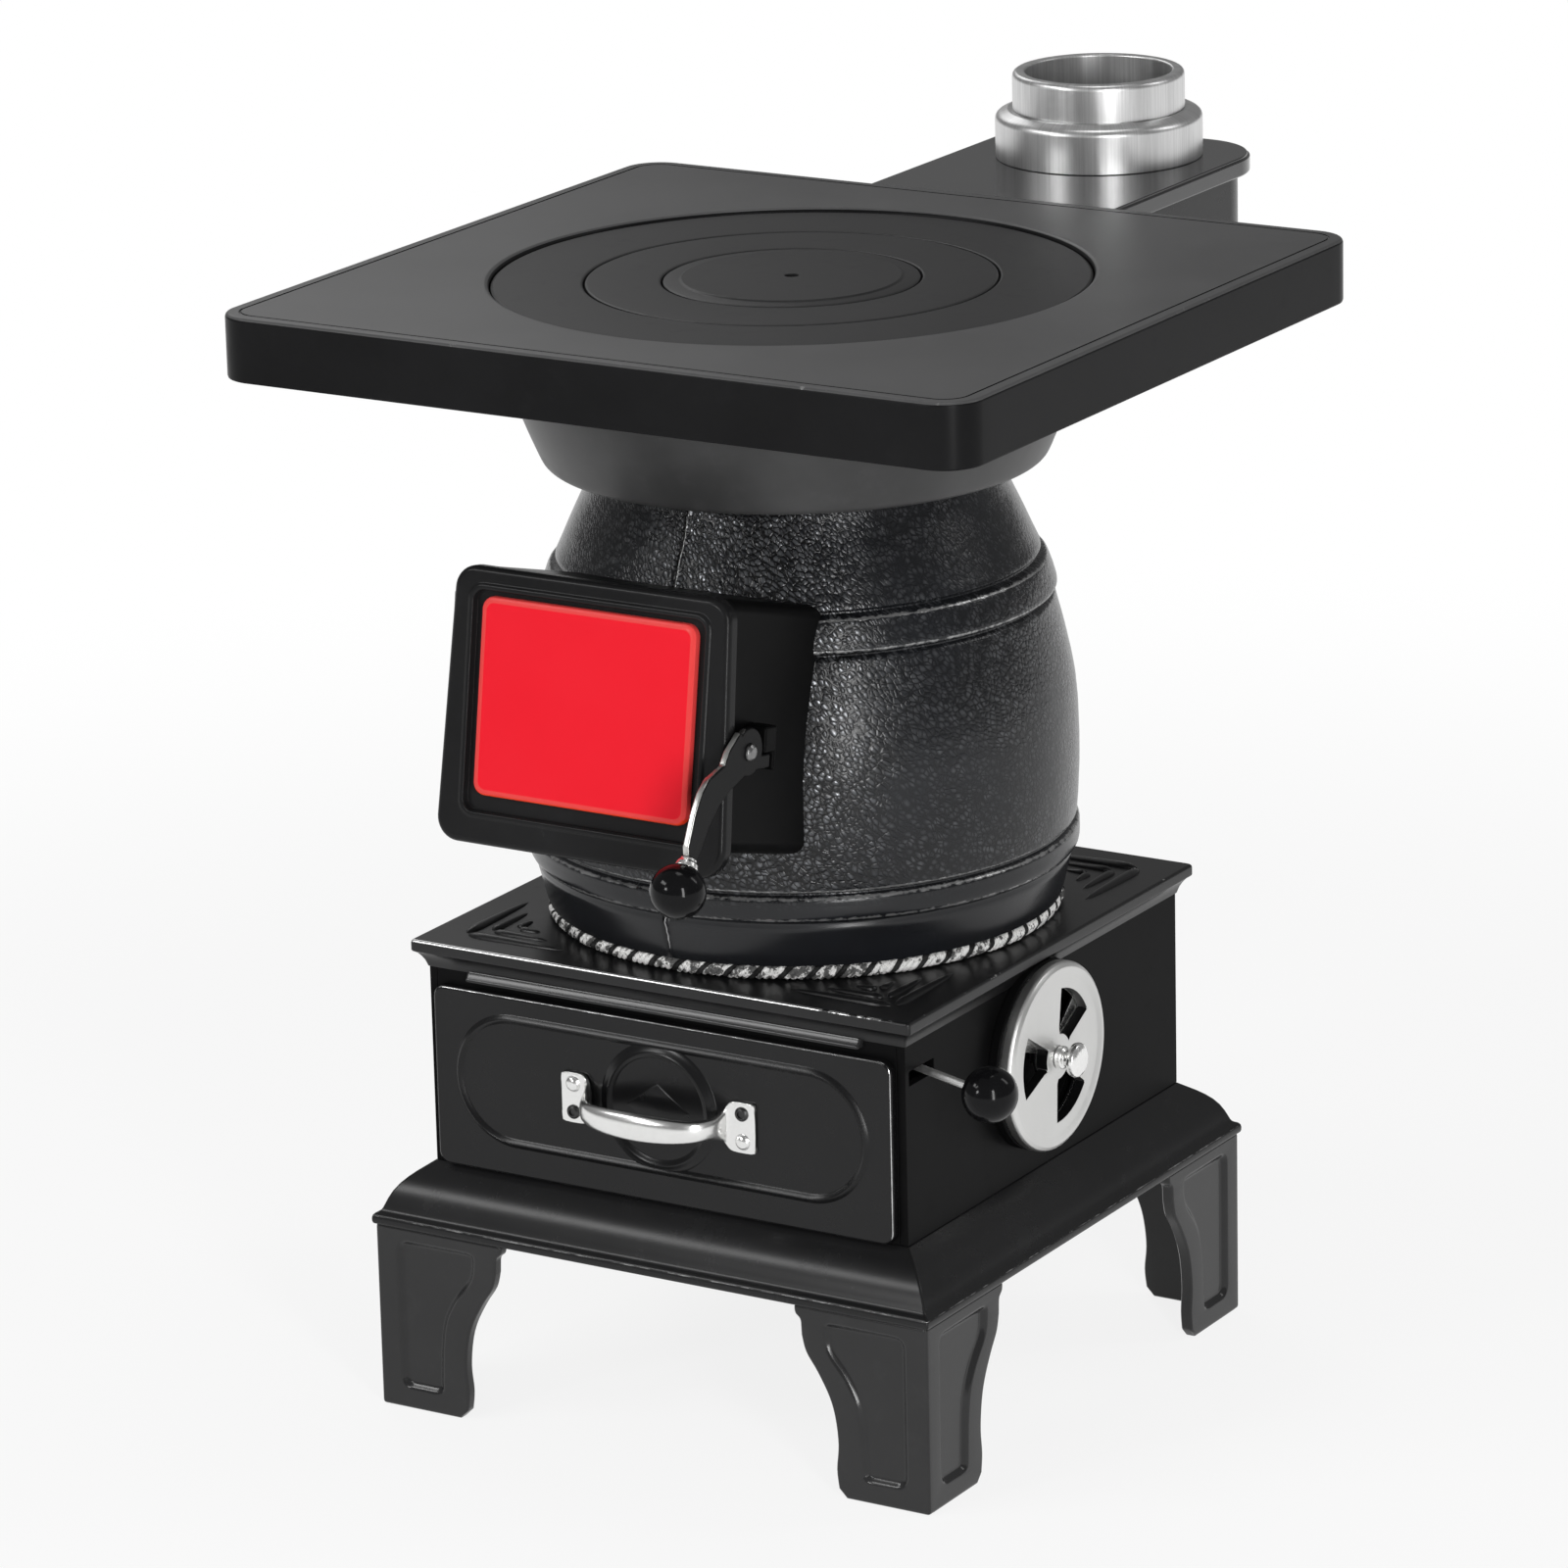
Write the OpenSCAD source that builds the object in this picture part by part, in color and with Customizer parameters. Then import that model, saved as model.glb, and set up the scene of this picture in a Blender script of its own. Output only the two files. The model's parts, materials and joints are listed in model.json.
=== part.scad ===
// Potbelly stove: cast iron ash box on four corner feet, round belly with a leaning
// loading door, bowl, square hob with three nested rings, rear smoke box and flue spigot.
// Millimetres, +Z up, door toward -Y, air damper toward +X.

/* [Ash box and feet] */
// Half width of the square ash box over its walls
box_half = 151.5; // [148:0.5:154]
// Thickness of the cast ash box walls
wall_t = 5; // [4:0.5:6]
// Height of the corner feet, floor to skirt
leg_h = 107; // [100:1:112]
// Half width over the outside of the feet
foot_half = 177; // [175:0.5:178]
// Flange thickness of a foot
leg_t = 7; // [6:0.5:8]
// Depth of the recessed panel in each foot flange
leg_recess = 2; // [1:0.25:3]
// Radius of the foot bolt shank
leg_bolt_r = 4; // [3:0.5:5]

/* [Ash drawer] */
// How far the ash box shows at each side of the drawer front
drawer_margin = 5.5; // [5.5:0.5:11.5]
// Height of the drawer front
drawer_h = 104; // [98:1:108]
// Thickness of the drawer front
drawer_t = 6; // [5:0.5:8]
// Distance from handle tab centre to the middle of the drawer
tab_x = 52.5; // [50:0.5:58]
// How far the handle grip stands out
grip_out = 30; // [26:1:36]

/* [Air damper] */
// Centre of the damper behind the belly axis
damper_y = -11; // [-14:1:0]
// Height of the damper centre over the deck of the ash box
damper_up = 67; // [63:1:69]
// Radius of the turning disc
damper_r = 53; // [51:0.5:54]
// Angle across one air opening in degrees
air_open = 54; // [44:1:56]
// Angle by which the disc is turned off fully open in the shown state
air_turn = 12; // [6:1:16]

/* [Grate shaker] */
// Height of the shaker rod over the deck of the ash box
rod_up = 93.5; // [92:0.5:95]
// Radius of the shaker rod
rod_r = 2.2; // [1.8:0.1:2.6]
// Angle of the shaker rod from straight sideways
rod_angle = -20.5; // [-22:0.5:-19]
// Radius of the shaker knob
shaker_ball_r = 15.5; // [13:0.5:17]

/* [Belly] */
// Wall thickness of the belly
belly_t = 8; // [6:0.5:9]
// Extra radius added to the whole belly
belly_plus = 0; // [-1:0.5:1]
// Radius of the sealing rope
rope_r = 4.2; // [3.8:0.1:4.3]

/* [Loading door] */
// Lean of the door from upright in degrees
lean = 9; // [7:0.5:11]
// Downward slope of the feed neck toward the belly in degrees
neck_slope = 16; // [14:0.5:18]
// Half width of the neck
neck_half = 80; // [78:0.5:81]
// Height of the neck across its axis
neck_h = 134; // [130:1:136]
// Door thickness
door_t = 9; // [8:0.5:10]
// Half width of the door at mid height
door_half = 88; // [86:0.5:88]
// Height of the door along its face
door_h = 149; // [145:1:151]
// Radius of the latch knob
latch_ball_r = 15; // [13:0.5:16]

/* [Hob] */
// Width of the hob
hob_w = 464; // [440:1:480]
// Depth of the hob
hob_d = 438; // [438:1:444]
// Corner radius of the hob
hob_r = 22; // [16:1:28]
// Depth of the hob skirt
hob_skirt = 35.8; // [32:0.2:38]
// Outer radius of the outer ring
ring1_r = 164; // [162:0.5:166]
// Outer radius of the middle ring
ring2_r = 112.8; // [108:0.4:116]
// Outer radius of the centre lid
ring3_r = 70.4; // [66:0.4:74]

/* [Flue] */
// Outside radius of the flue spigot
spigot_r = 50; // [48:0.5:52]
// Wall of the flue spigot
spigot_wall = 7.5; // [5:0.5:8]
// Distance of the flue axis behind the belly axis
flue_y = 345.5; // [343:0.5:347]
// Half width of the smoke box lid
flue_lid_half = 81; // [79:0.5:83]

/* [Hidden] */
$fn = 72;
// Clearances: between pieces, and round a pin or bolt
gap = 0.3;
pin_gap = 0.1;
// Levels, floor upwards
skirt_h = 34;
wall_h = 116;
plate_h = 13;
deck_z = leg_h + skirt_h;
wall_top = deck_z + wall_h;
plate_top = wall_top + plate_h;
belly_top = plate_top + 258;
ledge_low = belly_top + 82;
ledge_z = ledge_low + 7.6;
hob_top = ledge_z + 10;
hob_under = hob_top - 8;
hob_low = hob_top - hob_skirt;
// Ash box: foot bolts with their bosses, drawer, opening over the fire and its ledge
bolt_at = foot_half - leg_t - 20;
bolt_hole = leg_bolt_r + pin_gap;
boss_r = 10;
boss_h = 29;
tray_half = box_half - 27.5;
tray_z = deck_z + gap;
tray_t = 2;
front_s = box_half + drawer_t;
drawer_half = box_half - drawer_margin;
bead_half = drawer_half - 14;
bead_h = 38;
bead_w = 4.5;
medal_z = deck_z + 56;
fire_r = 110;
fire_ledge_r = 100;
// Drawer handle: fixing tabs and their holes
handle_z = deck_z + 54;
tab = [19, 2.5, 29];
tab_hole = 2.1;
tab_hole_x = tab_x + 1.5;
tab_hole_v = 8;
// Damper: air opening in the wall, sectors between two radii, centre bolt
damper_z = deck_z + damper_up;
air_r = 42;
sector_in = 13;
sector_out = 38;
stem_r = 4;
// Shaker: lug under the grate, and the rod from there through the right wall
rod_z = deck_z + rod_up;
lug = [24, -82.13];
rod_y = lug[1] + (box_half - lug[0]) * tan(rod_angle);
rod_run = (box_half - lug[0]) / cos(rod_angle);
shaker_ball_at = 53.8;
// Belly and feed neck
belly_foot_r = 134.6;
neck_t = 6;
// Loading door: its frame's origin, hinges on the left, latch on the right
door_y = -220.5;
door_z = plate_top + 162;
hinge_y = 16;
hinge_pin_r = 2.4;
eye_r = 5.5;
eye_hole = hinge_pin_r + pin_gap;
pivot = [16, -5.7];
pivot_r = 3;
lever_x = 91.5;
lever_t = 4;
ball_c = [-45, -72.7];
ball_dir = atan2(17.7, 10);
function lever_end(side) = [ball_c[0] + 18.6 * cos(ball_dir) + side * sin(ball_dir),
  ball_c[1] + 18.6 * sin(ball_dir) - side * cos(ball_dir)];
// Hob, smoke duct and flue
hob_back = hob_d / 2;
hob_wall = 7;
ring_gap = 0.4;
ring_lap = 6.3;
duct_half = 58;
duct_t = 6;
collar_r = 60.2;
flue_back = flue_y + 65.5;
// Depth of the latch knob in front of the belly axis, and the move that centres the whole box
ball_y = door_y + ball_c[0] * cos(lean) + ball_c[1] * sin(lean);
shift_y = -((ball_y - latch_ball_r) + flue_back) / 2;
// Outlines: height up the foot, across the skirt, and radius and height of belly and bowl
leg_rise = (leg_h - 17) / 90;
leg_outline = concat(
  [for (p = [[0, 0], [52, 0], [57, 5], [58, 16], [57, 30], [58.5, 45], [62, 57], [69, 70], [76, 80.5], [78.6, 90]])
    [p[0], p[1] * leg_rise]],
  [[79, leg_h - 8], [82.6, leg_h - 5.5], [83, leg_h], [0, leg_h]]);
leg_panel = [
  for (p = [[16, 14.5], [39, 14.5], [40.5, 43], [43.5, 58], [50.5, 71], [60.5, 84], [62.5, 97], [16, 97]])
    [p[0], p[1] > 90 ? leg_h - 10 : p[1] * leg_rise]];
skirt_flare = foot_half - box_half - 0.6;
skirt_out = concat(
  [for (p = [[1, 0], [1, 4.6], [0.9237, 6.2], [0.8273, 9.5], [0.7229, 14], [0.5783, 20], [0.3936, 26],
    [0.1767, 30.6], [0, 33]]) [box_half + 2.1 + p[0] * skirt_flare, leg_h + p[1]]],
  [[box_half, deck_z]]);
skirt_in = [for (p = [[1, -1], [1, 5], [0.84, 9], [0.6, 17], [0.28, 25], [0, 28]])
  [box_half - 5.5 + p[0] * (skirt_flare + 0.1), leg_h + p[1]]];
belly_out = [[143, 279], [144.6, 284], [146.4, 292], [148.4, 299], [149.6, 303.4],
  [148.8, 304.4], [150.6, 305.4], [152.2, 308], [152.9, 312.5], [152.4, 317], [151.2, 319.6], [149.8, 320.6],
  [151.2, 321.6],
  [152.2, 333], [153, 350], [153.2, 368], [152.7, 386], [151.4, 400], [149.4, 412],
  [147, 423], [144.4, 434], [141.8, 443], [140, 449.2], [138.8, 450.6], [141.2, 452],
  [141.4, 456], [140.2, 461], [138.2, 466], [135.8, 470], [132.8, 471.4], [133.4, 473],
  [129.8, 482], [125.8, 491], [121.6, 500], [117.4, 509], [114.2, 517], [112, 524], [112, 528]];
bowl_out = [[137, 528], [139.6, 530.4], [141.6, 535], [147, 549], [152.2, 563], [156.8, 577],
  [160, 590], [161, 599], [161, 610]];
bowl_in = [[154, 611], [154, 599], [153, 590], [149.8, 577], [145.2, 563], [140, 549],
  [134.6, 538], [129, 535], [0, 535], [0, 611]];
lift = plate_top - 270;

// Prisms: outline in XZ run along Y, and outline in YZ run along X
module prism_y(pts, len) rotate([90, 0, 0]) linear_extrude(height = len, center = true) polygon(pts);
module prism_x(pts, len) rotate([90, 0, 90]) linear_extrude(height = len, center = true) polygon(pts);

// Outline with rounded corners, plan view
module rounded(w, h, r) {
  square([w - 2 * r, h], center = true);
  square([w, h - 2 * r], center = true);
  for (sx = [-1, 1], sy = [-1, 1]) translate([sx * (w / 2 - r), sy * (h / 2 - r)]) circle(r = r);
}
module rounded_slab(w, h, r, z0, z1) translate([0, 0, z0]) linear_extrude(height = z1 - z0) rounded(w, h, r);

// Square moulding: the same outline, seen from the front and from the side
function both_sides(pts) = concat(pts, [for (i = [len(pts) - 1:-1:0]) [-pts[i][0], pts[i][1]]]);
module square_moulding(pts) intersection() {
  prism_y(both_sides(pts), 600);
  prism_x(both_sides(pts), 600);
}
module box(x0, x1, y0, y1, z0, z1) translate([x0, y0, z0]) cube([x1 - x0, y1 - y0, z1 - z0]);
module rod_x(r, x0, x1) translate([x0, 0, 0]) rotate([0, 90, 0]) cylinder(r = r, h = x1 - x0);

// Everything is drawn about the belly axis and moved so the whole box is centred
module placed() translate([0, shift_y, 0]) children();

// Frame of the leaning door: X across, Y into the stove, Z up the face
module on_door() translate([0, door_y, door_z]) rotate([-lean, 0, 0]) children();

module leg_shape() {
  difference() {
    union() {
      translate([0, -(foot_half - leg_t / 2), 0])
        prism_y([for (p = leg_outline) [foot_half - p[0], p[1]]], leg_t);
      translate([foot_half - leg_t / 2, 0, 0])
        prism_x([for (p = leg_outline) [p[0] - foot_half, p[1]]], leg_t);
      box(bolt_at - 18, foot_half - leg_t + 0.5, -(foot_half - leg_t + 0.5), -(bolt_at - 18), leg_h - 6, leg_h);
    }
    translate([0, -(foot_half - leg_recess / 2 + 0.5), 0])
      prism_y([for (p = leg_panel) [foot_half - p[0], p[1]]], leg_recess + 1);
    translate([foot_half - leg_recess / 2 + 0.5, 0, 0])
      prism_x([for (p = leg_panel) [p[0] - foot_half, p[1]]], leg_recess + 1);
    translate([bolt_at, -bolt_at, leg_h - 10]) cylinder(r = bolt_hole, h = 14);
  }
}
module leg_front_right() color("#2b2b2d") placed() leg_shape();
module leg_front_left() color("#2b2b2d") placed() mirror([1, 0, 0]) leg_shape();
module leg_rear_right() color("#2b2b2d") placed() mirror([0, 1, 0]) leg_shape();
module leg_rear_left() color("#2b2b2d") placed() mirror([1, 0, 0]) mirror([0, 1, 0]) leg_shape();

// Four hexagon bolts, foot pad to boss of the skirt
module at_bolts() for (sx = [-1, 1], sy = [-1, 1]) translate([sx * bolt_at, sy * bolt_at, 0]) children();
module leg_bolts() color("#6e6e70") placed() at_bolts() {
  translate([0, 0, leg_h - 11.5]) cylinder(r = 7.5, h = 5.5, $fn = 6);
  translate([0, 0, leg_h - 6.5]) cylinder(r = leg_bolt_r, h = 24);
}

// Skirt casting with its deck and four bolt bosses
module base_skirt() color("#2e2e30") placed() {
  difference() {
    union() {
      difference() {
        square_moulding(skirt_out);
        square_moulding(skirt_in);
      }
      at_bolts() translate([0, 0, leg_h]) cylinder(r = boss_r, h = boss_h);
    }
    at_bolts() translate([0, 0, leg_h - 1]) cylinder(r = bolt_hole, h = 21);
  }
}

module side_wall() box(box_half - wall_t, box_half, -box_half, box_half, deck_z, wall_top);
module ash_wall_left() color("#2c2c2e") placed() mirror([1, 0, 0]) side_wall();
module ash_wall_right() color("#2c2c2e") placed() difference() {
  side_wall();
  translate([0, damper_y, damper_z]) rod_x(air_r, box_half - wall_t - 1, box_half + 1);
  box(box_half - wall_t - 1, box_half + 1, rod_y - 17.2, rod_y + 8.8, rod_z - 4, rod_z + 4);
}
module ash_wall_rear() color("#2c2c2e") placed()
  box(-box_half + wall_t, box_half - wall_t, box_half - wall_t, box_half, deck_z, wall_top);
module ash_front_frame() color("#2c2c2e") placed() difference() {
  box(-box_half + wall_t, box_half - wall_t, -box_half, -box_half + wall_t, deck_z, wall_top);
  box(-tray_half - 3, tray_half + 3, -box_half - 1, -box_half + wall_t + 1, deck_z - 1, deck_z + 87);
}

// Top plate of the ash box: moulded edge, grate opening with ledge, corner ribs
module base_top_plate() color("#343436") placed() {
  edge = [for (p = [[0.9, -3], [1.9, 0], [3.9, 3.6], [5.9, 6], [7.5, 6.6], [7.5, 12], [6.5, plate_h]])
    [box_half + p[0], wall_top + p[1]]];
  difference() {
    square_moulding(edge);
    box(-box_half, box_half, -box_half, box_half, wall_top - 5, wall_top);
    difference() {
      box(-box_half + 13.5, box_half - 13.5, -box_half + 13.5, box_half - 13.5, wall_top - 1, plate_top - 7);
      cylinder(r = fire_r + 10, h = plate_top);
    }
    translate([0, 0, plate_top - 8]) cylinder(r = fire_r, h = 20);
    translate([0, 0, wall_top - 10]) cylinder(r = fire_ledge_r, h = 30);
    translate([0, damper_y, damper_z]) rod_x(damper_r + 0.6, box_half, box_half + 20);
  }
  for (sx = [-1, 1], sy = [-1, 1], k = [0, 1]) scale([sx, sy, 1]) translate([0, 0, plate_top - 0.5]) {
    linear_extrude(height = 1.4) translate([box_half - 5 * k, box_half - 5 * k]) difference() {
      polygon([[1.5, 1.5], [1.5, 12 * k - 41.5], [12 * k - 41.5, 1.5]]);
      polygon([[-0.5, -0.5], [-0.5, 12 * k - 36.5], [12 * k - 36.5, -0.5]]);
    }
  }
}

// Sheet tray behind the drawer front
module ash_tray() color("#4a4a4c") placed() difference() {
  box(-tray_half, tray_half, -front_s + drawer_t, box_half - 23.5, tray_z, deck_z + 83);
  box(-tray_half + tray_t, tray_half - tray_t, -front_s + drawer_t + tray_t, box_half - 23.5 - tray_t,
    tray_z + tray_t, deck_z + 84);
}
module stadium(half_w, half_h) translate([0, medal_z]) {
  square([2 * (half_w - half_h), 2 * half_h], center = true);
  for (s = [-1, 1]) translate([s * (half_w - half_h), 0]) circle(r = half_h);
}
// Something standing out from the drawer front by h, rooted in it
module on_front(h) translate([0, -front_s + 0.5, 0]) rotate([90, 0, 0]) linear_extrude(height = h + 0.5) children();
module at_tab_holes() for (s = [-1, 1], v = [-tab_hole_v, tab_hole_v])
  translate([s * tab_hole_x, -front_s, handle_z + v]) rotate([90, 0, 0]) children();
module drawer_front() color("#2a2a2c") placed() difference() {
  union() {
    translate([0, -front_s + drawer_t, deck_z + 0.8 + drawer_h / 2]) rotate([90, 0, 0])
      linear_extrude(height = drawer_t) rounded(2 * drawer_half, drawer_h, 7);
    on_front(1.5) difference() {
      stadium(bead_half, bead_h);
      stadium(bead_half - bead_w, bead_h - bead_w);
    }
    on_front(1.2) translate([0, medal_z]) circle(r = 36);
    on_front(2.4) translate([0, medal_z]) difference() {
      circle(r = 34);
      circle(r = 28);
    }
    on_front(2.4) translate([0, medal_z]) polygon([[0, -14], [20, 0], [0, 14], [-20, 0]]);
  }
  at_tab_holes() translate([0, 0, -drawer_t - 1]) cylinder(r = tab_hole, h = drawer_t + 4);
}
module drawer_handle() color("#c9c9c6") placed() {
  difference() {
    for (s = [-1, 1]) translate([s * tab_x, -front_s - tab[1] / 2, handle_z]) cube(tab, center = true);
    at_tab_holes() translate([0, 0, -1]) cylinder(r = tab_hole, h = 5);
  }
  path = [[-45.5, 3.6, 3.4], [-42.5, 14, 4.2], [-32, 25.5, 5], [0, grip_out, 6],
    [32, 25.5, 5], [42.5, 14, 4.2], [45.5, 3.6, 3.4]];
  for (i = [0:len(path) - 2]) hull() {
    translate([path[i][0], -front_s - path[i][1], handle_z]) sphere(r = path[i][2], $fn = 32);
    translate([path[i + 1][0], -front_s - path[i + 1][1], handle_z]) sphere(r = path[i + 1][2], $fn = 32);
  }
}
module handle_fastener(s, v, head, bore) translate([s * tab_hole_x, -front_s - tab[1], handle_z + v])
  rotate([90, 0, 0]) difference() {
    union() {
      rotate_extrude() polygon([[0, 0], [head, 0], [head * 0.9, 0.9], [head * 0.6, 1.7], [0, 2.1]]);
      translate([0, 0, -8.4]) cylinder(r = tab_hole - pin_gap, h = 9);
    }
    if (bore > 0) translate([0, 0, 0.8]) cylinder(r = bore, h = 3);
  }
// Domed rivets: upper on the left tab, lower on the right tab
module handle_rivets() color("#d2d2cf") placed() {
  handle_fastener(-1, tab_hole_v, 4.6, 0);
  handle_fastener(1, -tab_hole_v, 4.6, 0);
}
// Socket screws in the other two holes
module handle_screws() color("#3a3a3a") placed() {
  handle_fastener(-1, -tab_hole_v, 4, 2);
  handle_fastener(1, tab_hole_v, 4, 2);
}

// Three air openings from x0 to x1, drawn in the plane of the damper, the first at the angle a0
module sectors(a0, x0, x1) translate([x0, 0, 0]) rotate([90, 0, 90]) linear_extrude(height = x1 - x0)
  for (k = [0:2]) rotate([0, 0, a0 + 120 * k]) difference() {
    intersection() {
      circle(r = sector_out);
      polygon([[0, 0], 90 * [cos(air_open / 2), -sin(air_open / 2)], [100, 0],
        90 * [cos(air_open / 2), sin(air_open / 2)]]);
    }
    circle(r = sector_in);
  }
module at_damper() translate([box_half, damper_y, damper_z]) children();
module damper_seat() color("#262628") placed() at_damper() difference() {
  rod_x(damper_r, 0, 6);
  rod_x(air_r, -1, 7);
}
module damper_plate() color("#dedede") placed() at_damper() difference() {
  rod_x(damper_r - 1.5, 6, 7.6);
  rod_x(stem_r + 0.08, 5, 9);
  sectors(55 + air_turn, 5, 9);
}
module damper_disc() color("#c4c4c2") placed() at_damper() difference() {
  rotate([0, 90, 0]) rotate_extrude() polygon([[0, 8], [damper_r, 8], [damper_r, 12.4], [damper_r - 0.8, 14],
    [damper_r - 3, 15.4], [damper_r - 5, 15.4], [damper_r - 8, 14.2], [16, 14.2], [12, 15], [0, 15]]);
  rod_x(stem_r + pin_gap, 7, 17);
  sectors(55, 7, 17);
}
module damper_bolt() color("#e2e2e0") placed() at_damper() {
  rod_x(stem_r, -4, 17);
  rotate([0, 90, 0]) rotate_extrude() polygon([[0, 15.3], [6.4, 15.3], [6.4, 18.4], [4.6, 20], [4.6, 23],
    [9.2, 24.2], [9.8, 26], [9.2, 28], [6.5, 29.6], [0, 30.2]]);
}
module damper_nut() color("#8a8a88") placed() at_damper() difference() {
  rotate([0, 90, 0]) cylinder(r = 7.5, h = 5.7, $fn = 6);
  rod_x(stem_r + pin_gap, -1, 7);
}

// Shaker: slotted grate turned by a rod through the slot of the side wall
module at_rod() translate([box_half, rod_y, rod_z]) rotate([0, 0, rod_angle]) children();
module grate() color("#3a3938") placed() difference() {
  union() {
    difference() {
      translate([0, 0, plate_top - 7.8]) cylinder(r = fire_r - 1.5, h = 7);
      intersection() {
        translate([0, 0, plate_top - 10]) cylinder(r = 96, h = 20);
        union() for (i = [-5:5]) box(-100, 100, i * 17 - 4.5, i * 17 + 4.5, plate_top - 12, plate_top + 4);
      }
    }
    box(-6, 6, -100, 100, plate_top - 7.8, plate_top - 0.8);
    translate([lug[0], lug[1], 0]) box(-9, 9, -11.87, 6.13, rod_z - 6, plate_top - 4);
  }
  at_rod() rod_x(rod_r + pin_gap, -rod_run - 14, 0);
}
module shaker_rod() color("#d8d8d6") placed() at_rod() rod_x(rod_r, -rod_run - 5.88, 42);
module shaker_knob() color("#151515") placed() at_rod() difference() {
  translate([shaker_ball_at, 0, 0]) sphere(r = shaker_ball_r, $fn = 64);
  rod_x(rod_r + pin_gap, 30, 42.3);
}

// Sealing rope laid under the foot of the belly
module rope_seal() color("#d9d5cc") placed() translate([0, 0, plate_top + gap + rope_r])
  rotate_extrude() translate([belly_foot_r + rope_r + 0.5, 0]) circle(r = rope_r, $fn = 32);

module revolve(pts) rotate_extrude($fn = 144) polygon(pts);
module belly_mass(extra) translate([0, 0, lift])
  revolve(concat([[0, 279]], [for (p = belly_out) [p[0] + belly_plus + extra, p[1]]], [[0, 528]]));
// Run of the feed neck along its slope, drawn in by the wall on all sides
module neck_run(wall, r, from, to) translate([0, door_y + 9.5, door_z + 5]) rotate([-90 - neck_slope, 0, 0])
  translate([0, 0, from]) linear_extrude(height = to - from) rounded(2 * (neck_half - wall), neck_h - 2 * wall, r);

// Belly casting: hollow shell with two hoop bands and the feed mouth
module belly() color("#2d2d30") placed() difference() {
  union() {
    belly_mass(0);
    translate([0, 0, plate_top]) cylinder(r = belly_foot_r, h = 10);
  }
  translate([0, 0, lift]) revolve(concat([[0, 260], [124, 260], [124, 284]],
    [for (i = [2:1:len(belly_out) - 4]) [belly_out[i][0] - belly_t, belly_out[i][1]]],
    [[104, 524], [104, 540], [0, 540]]));
  neck_run(neck_t, 4, -30, 190);
}

// Feed neck between door and belly, with its two hinge eyes
module door_neck() color("#1c1c1e") placed() {
  difference() {
    intersection() {
      neck_run(0, 8, -40, 140);
      on_door() box(-120, 120, door_t + gap, 260, -200, 200);
    }
    neck_run(neck_t, 4, -60, 190);
    belly_mass(gap);
  }
  on_door() for (v = [33.7, -56.3]) difference() {
    union() {
      translate([-door_half, hinge_y, v]) cylinder(r = eye_r, h = 11);
      box(-door_half, -neck_half + 3, hinge_y - 3.5, hinge_y + eye_r, v, v + 11);
    }
    translate([-door_half, hinge_y, v - 1]) cylinder(r = eye_hole, h = 13);
  }
}

module at_pivot() translate([0, pivot[0], pivot[1]]) children();
function door_edge(v) = door_half - v * 0.027;
// Rounded corner number k of an outline, counted from the upper right, its corner point at [x, y]
function corner(x, y, r, k) = [for (i = [0:6])
  [x - sign(x) * r + r * cos(90 * k + 15 * i), y - sign(y) * r + r * sin(90 * k + 15 * i)]];
module fire_door() color("#39393b") placed() on_door() {
  hh = door_h / 2;
  difference() {
    union() {
      translate([0, door_t / 2, 0]) prism_y(concat(
        corner(door_edge(hh), hh, 13, 0), corner(-door_edge(hh), hh, 13, 1),
        corner(-door_edge(-hh), -hh, 13, 2), corner(door_edge(-hh), -hh, 18, 3)), door_t);
      translate([0, 0.5, 3]) rotate([90, 0, 0]) linear_extrude(height = 1.9) rounded(151, 125.5, 9);
    }
    translate([0, 3, 3]) rotate([90, 0, 0]) linear_extrude(height = 6) rounded(144.5, 119, 6);
  }
  for (v = [45.2, -44.8]) difference() {
    union() {
      translate([-door_half, hinge_y, v]) cylinder(r = eye_r, h = 13);
      box(-door_half - 2.5, -door_half + eye_r, door_t - 0.5, hinge_y, v, v + 13);
    }
    translate([-door_half, hinge_y, v - 1]) cylinder(r = eye_hole, h = 15);
  }
  difference() {
    union() {
      at_pivot() rod_x(8, 83.2, 89.2);
      box(83.2, door_half - 0.4, door_t - 0.5, pivot[0], pivot[1] - 8, pivot[1] + 8);
    }
    at_pivot() rod_x(pivot_r + pin_gap, 80, 92);
  }
}
// Red panel set in the recess of the door, edges bevelled
module door_panel() color("#e0202c") placed() on_door() translate([0, 0, 6]) {
  rotate([90, 0, 0]) translate([0, 0, -3]) linear_extrude(height = 2.6) rounded(134, 107, 7);
  hull() {
    rotate([90, 0, 0]) translate([0, 0, -0.5]) linear_extrude(height = 0.1) rounded(134, 107, 7, $fn = 32);
    rotate([90, 0, 0]) translate([0, 0, 1.5]) linear_extrude(height = 0.1) rounded(128, 101, 5, $fn = 32);
  }
}
module hinge_pins() color("#7b7b7d") placed() on_door()
  for (v = [33.2, -56.8]) translate([-door_half, hinge_y, v]) {
    cylinder(r = hinge_pin_r, h = 26);
    translate([0, 0, 25.3]) cylinder(r = 4, h = 2);
  }

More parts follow.
